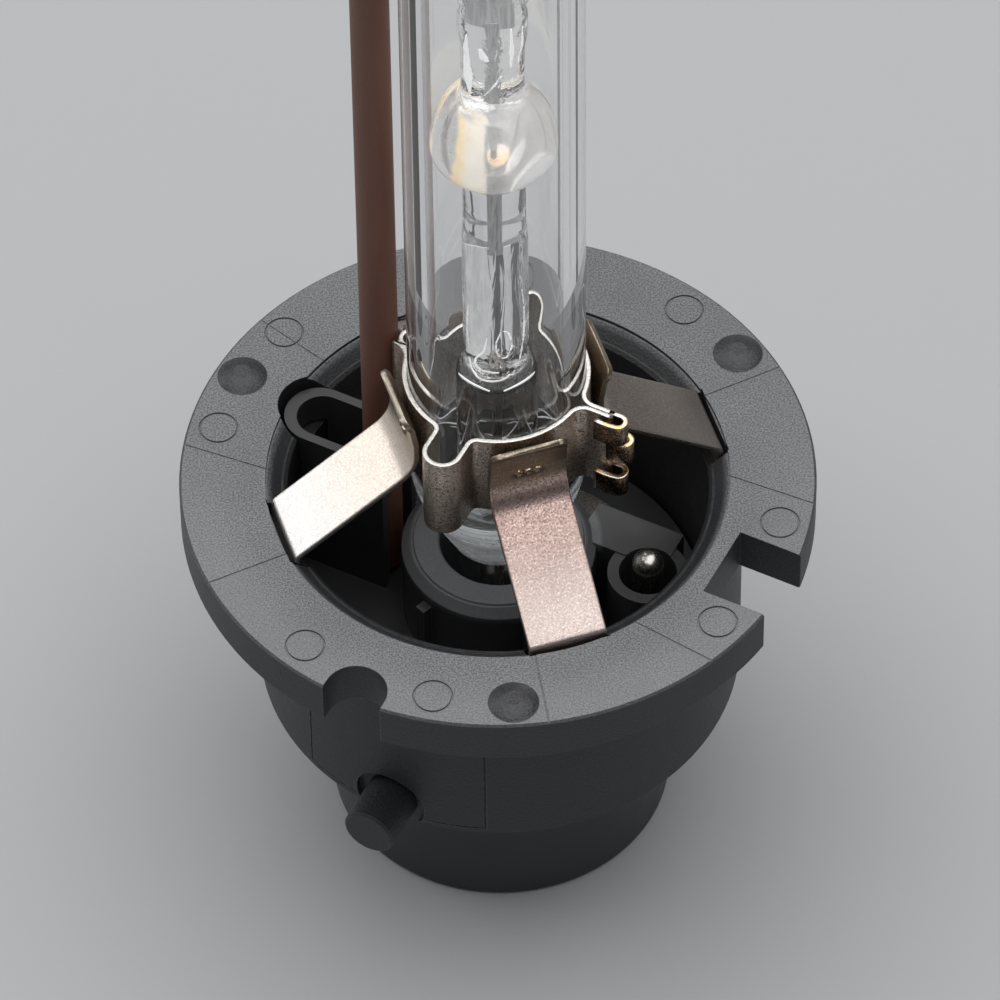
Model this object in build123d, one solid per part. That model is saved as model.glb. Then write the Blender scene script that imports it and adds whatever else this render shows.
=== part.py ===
from build123d import *
import math
import os

# Mercury-free xenon discharge headlight bulb with a 33 mm bayonet base.
# Millimetres, +Z up along the bulb axis. The origin is the centre of the
# base's bottom face, so the bulb stands on its base with the glass upwards.
# Angles are measured counter-clockwise from +X. Helpers work in a local frame
# whose x is the radial direction (u) and y the tangential direction (v).

os.makedirs("parts", exist_ok=True)

# ---------------------------------------------------------------- dimensions
# base heights
z_flange = 24.5            # flange top face
flange_t = 2.7             # flange thickness
z_under = z_flange - flange_t
boss_h = 0.4               # reference bosses above the flange face
z_ref = z_flange + boss_h  # reference plane of the bulb
light_centre = 27.1        # arc centre above the reference plane
z_arc = z_ref + light_centre

# directions
a_key = -27.5              # rectangular key notch and band crimp
a_lug = -117.5             # half-round notch, bayonet lug and front band lobe
a_return = 152.5           # ceramic return tube
tab_angles = {"front": -72.5, "right": 17.5, "rear": 107.5, "left": 197.5}

# moulded housing
flange_r = 16.7
hole_r = 12.18             # flange's inner edge
wall_r = 11.06             # cavity wall
skirt_r = 12.87
skirt_z0 = 10.0            # skirt's lower edge
ledge_t = 2.0              # inward ledge that carries the insulator
ledge_r = 9.22             # hole in the ledge
boss_r, boss_pitch = 1.35, 15.17
pin_mark_r, pin_mark_pitch = 1.05, 15.08
key_w, key_floor = 4.4, 13.05
half_round_r, half_round_pitch = 1.65, 16.1
lug_r, lug_tip, lug_z = 1.425, 15.3, 11.5
lug_relief, lug_root = 2.0, 12.34   # round relief about the lug and its flat floor

# insulator insert
nose_r = 9.15              # connector nose below the skirt
nose_z1 = 9.8              # top of the nose; a narrow relief parts it from the land in the ledge
neck_r = 8.75              # groove that carries the outer contact ring
disc_r, disc_z0, disc_z1 = 10.9, 12.0, 13.8
collar_r, collar_bore, collar_top = 5.15, 3.15, 19.3
collar_floor = 13.0
socket_top = 9.0           # ceiling of the contact pin's socket
socket_r, socket_wall_r = 3.5, 4.9
gap_r, gap_top = 7.6, 7.5  # annular gap between socket tube and nose wall
chan_out, chan_in, chan_u = 1.85, 1.36, 10.6
chan_top = z_flange - 0.7
post_u, post_a = 8.15, -15.5
well_out, well_in, well_top = 2.15, 1.55, 19.0

# contacts
pin_r, pin_z0 = 1.15, 1.2
ring_z0, ring_z1 = 6.0, 9.3
strip_t = 0.3

# sheet-metal mount of the glass
band_t, band_h = 0.26, 5.4
band_top = z_flange + 8.45
glass_r = 4.62
band_r = glass_r + band_t / 2
tab_t, tab_w = 0.3, 4.2

# glass and burner
env_in = 3.5
stem_r, stem_bore = 2.12, 1.1
seal_r = 1.7
bulb_r = 3.23
chamber_r, chamber_half = 2.0, 2.75
gap_arc = 4.2              # distance between the electrode tips
top_z = z_flange + 51.0    # highest point: cross-over of the return wire

# return side
ret_u = 6.85
tube_r, tube_bore = 1.0, 0.42
wire_r = 0.32


# ------------------------------------------------------------------- helpers
def turn(shape, angle):
    return Location((0, 0, 0), (0, 0, angle)) * shape


def box(x0, x1, y0, y1, z0, z1):
    return Pos((x0 + x1) / 2, (y0 + y1) / 2, (z0 + z1) / 2) * Box(x1 - x0, y1 - y0, z1 - z0)


def cyl(r, z0, z1, x=0.0, y=0.0):
    return Pos(x, y, (z0 + z1) / 2) * Cylinder(r, z1 - z0)


def tube(ro, ri, z0, z1, x=0.0, y=0.0):
    return cyl(ro, z0, z1, x, y) - cyl(ri, z0 - 1, z1 + 1, x, y)


def lathe(points):
    face = make_face(Polyline(*points, close=True))
    return revolve(Plane.XZ * face, Axis.Z, 360)


def lathe_edges(edges):
    face = make_face(edges)
    return revolve(Plane.XZ * face, Axis.Z, 360)


def one(shape):
    """The shape's solids as a single solid, or a compound of them."""
    solids = shape.solids()
    return solids[0] if len(solids) == 1 else Compound(children=list(solids))


def save(shape, name):
    export_step(one(shape), "parts/" + name + ".step")


def on_ring(angle, u, v=0.0):
    a = math.radians(angle)
    return (u * math.cos(a) - v * math.sin(a), u * math.sin(a) + v * math.cos(a))


# -------------------------------------------------------------- base housing
c = 0.12
housing = lathe([
    (ledge_r, skirt_z0), (skirt_r - 0.5, skirt_z0), (skirt_r, skirt_z0 + 0.5),
    (skirt_r, z_under), (flange_r - c, z_under), (flange_r, z_under + c),
    (flange_r, z_flange - c), (flange_r - c, z_flange), (hole_r, z_flange),
    (hole_r, z_flange - 0.22), (hole_r - 0.09, z_flange - 0.22),
    (11.34, z_flange - 0.82), (11.28, z_flange - 0.74), (wall_r, z_flange - 0.92),
    (wall_r, skirt_z0 + ledge_t), (ledge_r, skirt_z0 + ledge_t),
])

# reference bosses: low domes with a small flat on top
cap = 0.45
dome_r = (boss_r ** 2 + cap ** 2) / (2 * cap)
for a in (a_lug + 30, a_lug + 150, a_lug - 90):
    x, y = on_ring(a, boss_pitch)
    dome = Pos(x, y, z_flange + cap - dome_r) * Sphere(dome_r)
    housing += dome & box(x - 2, x + 2, y - 2, y + 2, z_flange - 0.05, z_ref)

# bayonet lugs, front and rear, each standing in a shallow round relief
for a in (a_lug, a_lug + 180):
    housing -= turn(Pos(lug_root + 1, 0, lug_z) * Rot(0, 90, 0) * Cylinder(lug_relief, 2), a)
    lug = Plane.YZ * Circle(lug_r)
    lug = extrude(lug, lug_tip - 12.0)
    lug = chamfer(lug.faces().sort_by(Axis.X)[-1].edges(), 0.12)
    housing += turn(Pos(12.0, 0, lug_z) * lug, a)

# rectangular key notch and half-round notch through the flange
housing -= turn(box(key_floor, 20, -key_w / 2, key_w / 2, z_under, z_flange + 1), a_key)
x, y = on_ring(a_lug, half_round_pitch)
housing -= cyl(half_round_r, z_under, z_flange + 1, x, y)
housing -= turn(box(half_round_pitch, 20, -half_round_r, half_round_r, z_under, z_flange + 1), a_lug)

# pocket in the flange's inner edge for the end of the return channel
pocket = cyl(1.95, z_flange - 2.8, z_flange + 1, 10.85, 0) + box(9.0, 10.85, -1.95, 1.95, z_flange - 2.8, z_flange + 1)
housing -= turn(pocket, a_return)

# tab slots: open at the top, closing on the tab's leg below
for a in tab_angles.values():
    housing -= turn(box(10.9, 12.06, -tab_w / 2 - 0.1, tab_w / 2 + 0.1, z_flange - 1.3, z_flange + 1), a)
    housing -= turn(box(11.5, 11.8, -tab_w / 2, tab_w / 2, z_flange - 3.2, z_flange), a)

# ejector marks: fine ring grooves in pairs beside each principal direction
for base in (a_key, a_lug, a_return, a_lug + 180):
    for d in (-14.2, 14.2):
        x, y = on_ring(base + d, pin_mark_pitch)
        housing -= tube(pin_mark_r, pin_mark_r - 0.11, z_flange - 0.09, z_flange + 0.5, x, y)

# witness lines of the mould inserts on the flange face
for a0, a1 in ((171.6, 177.5), (138.9, 138.9), (25.6, 25.6), (-8.0, -0.9), (-48.8, -55.3), (-81.5, -81.5), (-155.0, -155.0)):
    x0, y0 = on_ring(a0, flange_r + 0.3)
    x1, y1 = on_ring(a1, hole_r - 0.2)
    length = math.hypot(x1 - x0, y1 - y0)
    line = Location(((x0 + x1) / 2, (y0 + y1) / 2, z_flange), (0, 0, math.degrees(math.atan2(y1 - y0, x1 - x0))))
    housing -= line * Box(length, 0.08, 0.1)

# outline of the side slide around each lug on the skirt
for a in (a_lug, a_lug + 180):
    for v in (-5.15, 5.15):
        u = math.sqrt(skirt_r ** 2 - v ** 2)
        housing -= turn(box(u - 0.08, u + 1, v - 0.05, v + 0.05, skirt_z0 + 0.8, z_under - 0.01), a)
    arc = tube(skirt_r + 1, skirt_r - 0.07, skirt_z0 + 0.8, skirt_z0 + 0.9)
    keep = turn(box(8, 15, -5.15, 5.15, skirt_z0, skirt_z0 + 2), a)
    clear = turn(Pos(12, 0, lug_z) * Rot(0, 90, 0) * Cylinder(lug_relief + 0.15, 12), a)
    housing -= (arc & keep) - clear
save(housing, "base_housing")

# ------------------------------------------------------------ bus strip shape
def bus(grow, z0, z1):
    """Flat strip on the insulator's floor, from the return wire round the rear to the post."""
    ro, ri = post_u + 0.6 + grow, post_u - 0.6 - grow
    ring = tube(ro, ri, z0, z1)
    a0, a1 = math.radians(post_a - 0.0), math.radians(a_return)
    mid = (a0 + a1) / 2
    pts = [(0, 0)] + [(14 * math.cos(a0 + (a1 - a0) * i / 8), 14 * math.sin(a0 + (a1 - a0) * i / 8)) for i in range(9)]
    sector = Pos(0, 0, z0) * extrude(make_face(Polyline(*pts, close=True)), z1 - z0)
    strip = ring & sector
    xe, ye = on_ring(post_a, post_u)
    strip += cyl(0.6 + grow, z0, z1, xe, ye)
    strip += turn(box(ret_u, post_u + 0.6 + grow, -0.7 - grow, 0.0, z0, z1), a_return)
    xr, yr = on_ring(a_return, ret_u)
    strip += cyl(0.7 + grow, z0, z1, xr, yr)
    return strip


# ---------------------------------------------------------- inner insulator
nose = lathe([
    (gap_r, 0.0), (nose_r - 0.3, 0.0), (nose_r, 0.3), (nose_r, ring_z0), (neck_r, ring_z0),
    (neck_r, ring_z1), (nose_r, ring_z1), (nose_r, nose_z1), (neck_r, nose_z1),
    (neck_r, nose_z1 + 0.8), (nose_r, nose_z1 + 0.8), (nose_r, disc_z0), (disc_r, disc_z0), (disc_r, disc_z1),
    (collar_r, disc_z1), (collar_r, collar_top - 0.5), (collar_r - 0.45, collar_top),
    (collar_r - 0.5, collar_top - 0.12), (collar_r - 0.6, collar_top - 0.12), (collar_r - 0.65, collar_top),
    (collar_bore + 0.1, collar_top), (collar_bore, collar_top - 0.1), (collar_bore, collar_floor),
    (pin_r, collar_floor), (pin_r, socket_top), (socket_r, socket_top), (socket_r, 0.5),
    (socket_r + 0.25, 0.25), (socket_wall_r - 0.25, 0.25), (socket_wall_r, 0.5), (socket_wall_r, gap_top), (gap_r, gap_top),
])
insulator = nose

# return channel: thin U wall, closed towards the flange, open towards the axis
def channel(z0, z1):
    outer = cyl(chan_out, z0, z1, chan_u, 0) + box(5.9, chan_u, -chan_out, chan_out, z0, z1)
    inner = cyl(chan_in, z0 - 1, z1 + 1, chan_u - 0.2, 0) + box(4.0, chan_u - 0.2, -chan_in, chan_in, z0 - 1, z1 + 1)
    return outer - inner


body = channel(disc_z1, chan_top) & cyl(disc_r, disc_z1 - 1, chan_top + 1).moved(Location((0, 0, 0), (0, 0, 0)))
hook = channel(z_flange - 2.6, chan_top)
insulator += turn(body + hook, a_return)

# web and well of the terminal post
px, py = on_ring(post_a, post_u)
well = cyl(well_out, disc_z1, well_top, px, py)
web = turn(box(3.6, 8.6, 2.1, 4.7, disc_z1, collar_top - 0.2), a_key) & cyl(wall_r - 0.4, 0, 40)
web -= cyl(collar_r - 0.2, 0, 40)
insulator += well + web
insulator -= cyl(well_in, disc_z1 + strip_t, 40, px, py)
insulator -= cyl(0.5, ring_z1, disc_z1 + 1, px, py)

# small ribs that stiffen the collar on the floor
for a in (-137.5, 62.5, -72.5):
    insulator += turn(box(collar_r - 0.2, collar_r + 0.55, -0.3, 0.3, disc_z1, collar_top - 1.2), a)

# pocket of the contact ring's foot and channel for the bus strip
insulator -= turn(box(7.4, 9.0, -0.7, 0.7, 8.9, ring_z1), post_a)
insulator -= bus(0.06, disc_z1, disc_z1 + strip_t + 0.06)
save(insulator, "inner_insulator")

# ------------------------------------------------------------------- contacts
ring = tube(nose_r, neck_r, ring_z0, ring_z1)
ring -= turn(box(8, 10, -0.6, 0.6, ring_z0 - 1, ring_z1 + 1), -160)
ring += turn(box(7.4, 8.9, -0.7, 0.7, 8.9, ring_z1), post_a)
save(ring, "outer_contact_ring")

xr, yr = on_ring(a_return, ret_u)
strip = bus(0.0, disc_z1, disc_z1 + strip_t)
strip -= cyl(0.5, disc_z1 - 1, disc_z1 + 2, px, py)
strip -= cyl(wire_r, disc_z1 - 1, disc_z1 + 2, xr, yr)
save(strip, "return_bus_strip")

post = cyl(0.5, ring_z1, disc_z1 + strip_t, px, py)
post_top = Pos(px, py, 0) * lathe([(0, disc_z1 + strip_t), (0.85, disc_z1 + strip_t), (0.85, 19.6), (0, 19.6)])
dome = (Pos(px, py, 19.6) * Sphere(0.85)) & cyl(0.85, 19.6, 21, px, py)
save(post + post_top + dome, "terminal_post")

pin = lathe([
    (0, pin_z0), (0.55, pin_z0), (0.95, pin_z0 + 0.25), (pin_r, pin_z0 + 0.7), (pin_r, socket_top - 0.8),
    (1.9, socket_top - 0.8), (1.9, socket_top), (pin_r, socket_top), (pin_r, collar_floor), (0.8, collar_floor + 0.3),
    (0.8, 15.2), (0.45, 15.2), (0.45, 3.0), (0.25, 2.6), (0.25, 1.9), (0, 1.9),
])
save(pin, "centre_contact_pin")

# ------------------------------------------------------- retaining tabs (four)
zt = band_top - 0.1
tab_path = FilletPolyline(
    (5.55, zt), (5.22, 32.3), (5.03, 31.0), (5.03, 29.2), (11.65, z_flange - 0.03), (11.65, 21.5),
    radius=[0.8, 3.0, 2.2, 0.35],
)
profile = Wire(tab_path.edges()).offset_2d(tab_t / 2, kind=Kind.INTERSECTION, side=Side.BOTH, closed=True)
tab_face = Plane.XZ * make_face(profile.edges())
tab = extrude(tab_face, tab_w / 2, both=True)
# the sheared top corners are rounded
tab_end = zt + tab_t / 2
outline = Plane.YZ * make_face(FilletPolyline(
    (-tab_w / 2, 20.0), (-tab_w / 2, tab_end), (tab_w / 2, tab_end), (tab_w / 2, 20.0), radius=0.5,
).edges() + Line((tab_w / 2, 20.0), (-tab_w / 2, 20.0)).edges())
tab = tab & (Pos(4, 0, 0) * extrude(outline, 9))
# three spot-weld bumps where the tab is joined to the band
for v in (-0.42, 0.0, 0.42):
    tab += Pos(5.13, v, 30.6) * Sphere(0.19)
for name, a in tab_angles.items():
    save(turn(tab, a), "retaining_tab_" + name)

# ----------------------------------------------------------------- clamp band
def lobe(side_v, fillet_r, end_u, start):
    """Half of a parallel-sided lobe about the x axis: (circle tangent angle, fillet centre, side start)."""
    cv = side_v + fillet_r
    cu = math.sqrt((band_r + fillet_r) ** 2 - cv ** 2)
    return math.atan2(cv, cu), (cu, cv)


def rot(p, a):
    return (p[0] * math.cos(a) - p[1] * math.sin(a), p[0] * math.sin(a) + p[1] * math.cos(a))


def tangent_mid(centre, r, p, q):
    """Mid-point of the short arc of radius r about centre between p and q."""
    mx, my = (p[0] + q[0]) / 2 - centre[0], (p[1] + q[1]) / 2 - centre[1]
    d = math.hypot(mx, my)
    return (centre[0] + mx * r / d, centre[1] + my * r / d)


def u_lobe(at, side_v, fillet_r, end_u):
    """Edges of one U-shaped lobe, walked counter-clockwise, and its two angles on the circle."""
    t, cen = lobe(side_v, fillet_r, end_u, 0)
    low_c = (cen[0], -cen[1])
    p0 = (band_r * math.cos(t), -band_r * math.sin(t))
    p1 = (cen[0], -side_v)
    p2 = (end_u - side_v, -side_v)
    p3 = (end_u, 0.0)
    p4 = (end_u - side_v, side_v)
    p5 = (cen[0], side_v)
    p6 = (band_r * math.cos(t), band_r * math.sin(t))
    a = math.radians(at)
    m0 = tangent_mid(low_c, fillet_r, p0, p1)
    m1 = tangent_mid(cen, fillet_r, p5, p6)
    edges = [
        ThreePointArc(rot(p0, a), rot(m0, a), rot(p1, a)),
        Line(rot(p1, a), rot(p2, a)),
        ThreePointArc(rot(p2, a), rot(p3, a), rot(p4, a)),
        Line(rot(p4, a), rot(p5, a)),
        ThreePointArc(rot(p5, a), rot(m1, a), rot(p6, a)),
    ]
    return edges, a - t, a + t


def circle_arc(a0, a1):
    m = (a0 + a1) / 2
    pt = lambda q: (band_r * math.cos(q), band_r * math.sin(q))
    return ThreePointArc(pt(a0), pt(m), pt(a1))


# the path is drawn with the crimp on +x, then turned to the key direction
seam_v, seam_f, seam_u = band_t / 2 + 0.01, 0.8, 6.75
ts, cs = lobe(seam_v, seam_f, 0, 0)
start = [
    Line((seam_u, seam_v), (cs[0], seam_v)),
    ThreePointArc((cs[0], seam_v), tangent_mid(cs, seam_f, (cs[0], seam_v), (band_r * math.cos(ts), band_r * math.sin(ts))), (band_r * math.cos(ts), band_r * math.sin(ts))),
]
rear, r0, r1 = u_lobe(90, 0.93, 0.5, 6.98)
side, s0, s1 = u_lobe(180, 0.55, 1.2, 5.5)
front, f0, f1 = u_lobe(270, 0.93, 0.5, 6.98)
low = (cs[0], -cs[1])
end = [
    ThreePointArc((band_r * math.cos(ts), -band_r * math.sin(ts)), tangent_mid(low, seam_f, (band_r * math.cos(ts), -band_r * math.sin(ts)), (cs[0], -seam_v)), (cs[0], -seam_v)),
    Line((cs[0], -seam_v), (seam_u, -seam_v)),
]
path = start + [circle_arc(ts, r0)] + rear + [circle_arc(r1, s0)] + side + [circle_arc(s1, f0)] + front + [circle_arc(f1, 2 * math.pi - ts)] + end
band_wire = Wire([e for p in path for e in p.edges()])
band_out = band_wire.offset_2d(band_t / 2, kind=Kind.INTERSECTION, side=Side.BOTH, closed=True)
band_z0 = band_top - band_h
band = Pos(0, 0, band_z0) * extrude(make_face(band_out.edges()), band_h)

# three interlocked ears close the seam; each is folded round the other layer
def ear(sign, z0, z1):
    far = seam_u + 0.42
    r = 2 * seam_v
    fold = [
        Line((seam_u - 0.15, sign * seam_v), (far, sign * seam_v)),
        ThreePointArc((far, sign * seam_v), (far + r, -sign * seam_v), (far, -sign * 3 * seam_v)),
        Line((far, -sign * 3 * seam_v), (5.95, -sign * 3 * seam_v)),
    ]
    w = Wire([e for p in fold for e in p.edges()]).offset_2d(band_t / 2, kind=Kind.INTERSECTION, side=Side.BOTH, closed=True)
    return Pos(0, 0, z0) * extrude(make_face(w.edges()), z1 - z0)


band += ear(+1, band_top - 1.25, band_top)
band += ear(-1, band_top - 3.3, band_top - 2.05)
band += ear(+1, band_z0, band_z0 + 1.25)
save(turn(band, a_key), "clamp_band")

# ------------------------------------------------------------- outer envelope
def f(z):
    return z_flange + z


lo_out = Spline((2.62, f(-4.28)), (3.05, f(-3.3)), (3.62, f(-2.0)), (4.2, f(-0.6)), (glass_r, f(1.5)), tangents=[(0.35, 1.0), (0.0, 1.0)])
up_out = Spline((glass_r, f(40.3)), (4.3, f(42.0)), (3.3, f(43.6)), (2.35, f(44.7)), (2.1, f(46.0)), tangents=[(0.0, 1.0), (0.0, 1.0)])
up_in = Spline((1.78, f(43.9)), (2.5, f(43.2)), (3.2, f(41.8)), (env_in, f(40.0)), tangents=[(0.6, -0.5), (0.0, -1.0)])
lo_in = Spline((env_in, f(2.0)), (3.25, f(0.3)), (2.6, f(-1.2)), (stem_r, f(-1.9)), tangents=[(0.0, -1.0), (-0.7, -0.5)])
env_edges = [
    Line((stem_r, f(-4.4)), (2.5, f(-4.4))), Line((2.5, f(-4.4)), (2.62, f(-4.28))), lo_out, Line((glass_r, f(1.5)), (glass_r, f(40.3))), up_out,
    Line((2.1, f(46.0)), (2.1, f(47.4))), Line((2.1, f(47.4)), (1.78, f(47.6))), Line((1.78, f(47.6)), (1.78, f(43.9))),
    up_in, Line((env_in, f(40.0)), (env_in, f(2.0))), lo_in, Line((stem_r, f(-1.9)), (stem_r, f(-4.4))),
]
envelope = lathe_edges([e for p in env_edges for e in p.edges()])
save(envelope, "outer_envelope")

# ------------------------------------------------------ electrodes and leads
foil_w, foil_t = 1.45, 0.08
tip_lo, tip_hi = z_arc - gap_arc / 2, z_arc + gap_arc / 2
el_r = 0.2
lower_electrode = cyl(el_r, f(19.0), tip_lo)
upper_electrode = cyl(el_r, tip_hi, f(36.2))
foil_a = -20.0
lower_foil = turn(box(-foil_t / 2, foil_t / 2, -foil_w / 2, foil_w / 2, f(11.0), f(19.4)), 90 + foil_a) - lower_electrode
upper_foil = turn(box(-foil_t / 2, foil_t / 2, -foil_w / 2, foil_w / 2, f(35.8), f(43.8)), 90 + foil_a) - upper_electrode
lower_lead = cyl(0.25, 1.9, f(11.4))
upper_lead = cyl(0.3, f(43.4), f(51.0))
lower_foil -= lower_lead
upper_foil -= upper_lead
save(lower_electrode, "lower_electrode")
save(upper_electrode, "upper_electrode")
save(lower_foil, "lower_foil")
save(upper_foil, "upper_foil")
save(lower_lead, "lower_lead_wire")

# ------------------------------------------------------------------- arc tube
neck_lo = z_arc - math.sqrt(bulb_r ** 2 - 1.62 ** 2)
neck_hi = z_arc + math.sqrt(bulb_r ** 2 - 1.62 ** 2)
stem_bottom = collar_floor + 0.4
tube_body = lathe([
    (stem_bore, stem_bottom), (stem_r - 0.1, stem_bottom), (stem_r, stem_bottom + 0.1), (stem_r, f(9.3)),
    (2.04, f(9.75)), (1.9, f(10.1)), (seal_r, f(10.3)), (seal_r, f(20.2)), (1.62, f(20.8)), (1.62, neck_lo + 0.4),
    (0, neck_lo + 0.4), (0, f(9.3)), (0.6, f(9.1)), (0.95, f(8.6)), (stem_bore, f(7.9)),
])
upper_body = lathe([
    (0, neck_hi - 0.4), (1.62, neck_hi - 0.4), (1.62, f(34.2)), (1.78, f(34.8)), (1.78, f(47.9)), (1.5, f(48.3)), (0, f(48.3)),
])
bulb = Pos(0, 0, z_arc) * Sphere(bulb_r)
arc_tube = tube_body + bulb + upper_body
# necks blend into the bulb
neck_edges = [e for e in arc_tube.edges().filter_by(GeomType.CIRCLE) if abs(e.radius - 1.62) < 0.02 and abs(abs(e.center().Z - z_arc) - (z_arc - neck_lo)) < 0.1]
arc_tube = fillet(neck_edges, 0.45)
# discharge chamber, an ellipsoid
n = 24
half = [(0.0, z_arc - chamber_half)] + [
    (chamber_r * math.cos(q), z_arc + chamber_half * math.sin(q))
    for q in [math.radians(-90 + 180 * i / n) for i in range(1, n)]
] + [(0.0, z_arc + chamber_half)]
chamber_curve = Spline(*half, tangents=[(1, 0), (-1, 0)])
chamber = lathe_edges(list(chamber_curve.edges()) + list(Line(half[-1], half[0]).edges()))
arc_tube -= chamber
for inner in (lower_electrode, upper_electrode, lower_foil, upper_foil, lower_lead, upper_lead):
    arc_tube -= inner
save(arc_tube, "arc_tube")

# salts: a thin crust on the chamber's wall, on one side and round the bottom
def crust(z0, z1, thick):
    """Section of the crust between two heights, just clear of the chamber's wall."""
    def curve(inset):
        r, h = chamber_r - inset, chamber_half - inset
        zs = [z0 + (z1 - z0) * i / 12 for i in range(13)]
        return [(r * math.sqrt(max(0.0, 1 - ((z - z_arc) / h) ** 2)), z) for z in zs]
    outer, inner = curve(0.02), curve(0.02 + thick)
    return Plane.XZ * make_face(Polyline(*(outer + inner[::-1]), close=True))


side_crust = turn(revolve(crust(z_arc - 1.2, z_arc + 2.0, 0.1), Axis.Z, 85), 165)
low_crust = turn(revolve(crust(z_arc - 2.55, z_arc - 2.0, 0.12), Axis.Z, 170), -60)
salts = side_crust + low_crust
save(salts, "halide_salts")

# ---------------------------------------------------------------- return side
wire_top = top_z - wire_r
run = FilletPolyline((ret_u, 0, disc_z1), (ret_u, 0, wire_top), (0.0, 0, wire_top), radius=1.6)
section = Plane(origin=(ret_u, 0, disc_z1), z_dir=(0, 0, 1)) * Circle(wire_r)
return_wire = sweep(section, path=Wire(run.edges()))
return_wire = turn(return_wire, a_return) - cyl(0.3, f(43.4), f(52))
save(return_wire, "return_wire")
upper_lead = upper_lead & cyl(2, 0, top_z)
save(upper_lead, "upper_lead_wire")

ceramic = tube(tube_r, tube_bore, disc_z1 + strip_t, f(46.2), ret_u, 0)
save(turn(ceramic, a_return), "return_tube")
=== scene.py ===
import math

import bpy
from mathutils import Matrix, Vector


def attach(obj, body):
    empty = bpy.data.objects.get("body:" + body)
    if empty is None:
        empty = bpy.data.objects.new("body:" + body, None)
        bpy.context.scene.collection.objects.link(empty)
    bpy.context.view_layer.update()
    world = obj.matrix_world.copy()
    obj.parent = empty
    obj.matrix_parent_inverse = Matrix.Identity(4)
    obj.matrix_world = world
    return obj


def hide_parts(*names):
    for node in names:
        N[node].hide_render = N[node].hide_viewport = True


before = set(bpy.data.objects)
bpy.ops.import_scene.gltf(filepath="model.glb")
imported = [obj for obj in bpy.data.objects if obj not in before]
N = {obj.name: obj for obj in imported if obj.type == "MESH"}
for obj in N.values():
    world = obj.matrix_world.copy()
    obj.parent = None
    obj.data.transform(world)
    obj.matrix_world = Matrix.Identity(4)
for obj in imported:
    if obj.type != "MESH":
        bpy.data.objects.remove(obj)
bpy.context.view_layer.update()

MM = 0.001
Z_FLANGE = 24.5
Z_ARC = 52.0
A_KEY, A_LUG, A_RETURN = -27.5, -117.5, 152.5
TABS = {"front": -72.5, "right": 17.5, "rear": 107.5, "left": 197.5}


def f(z):
    return Z_FLANGE + z


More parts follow.
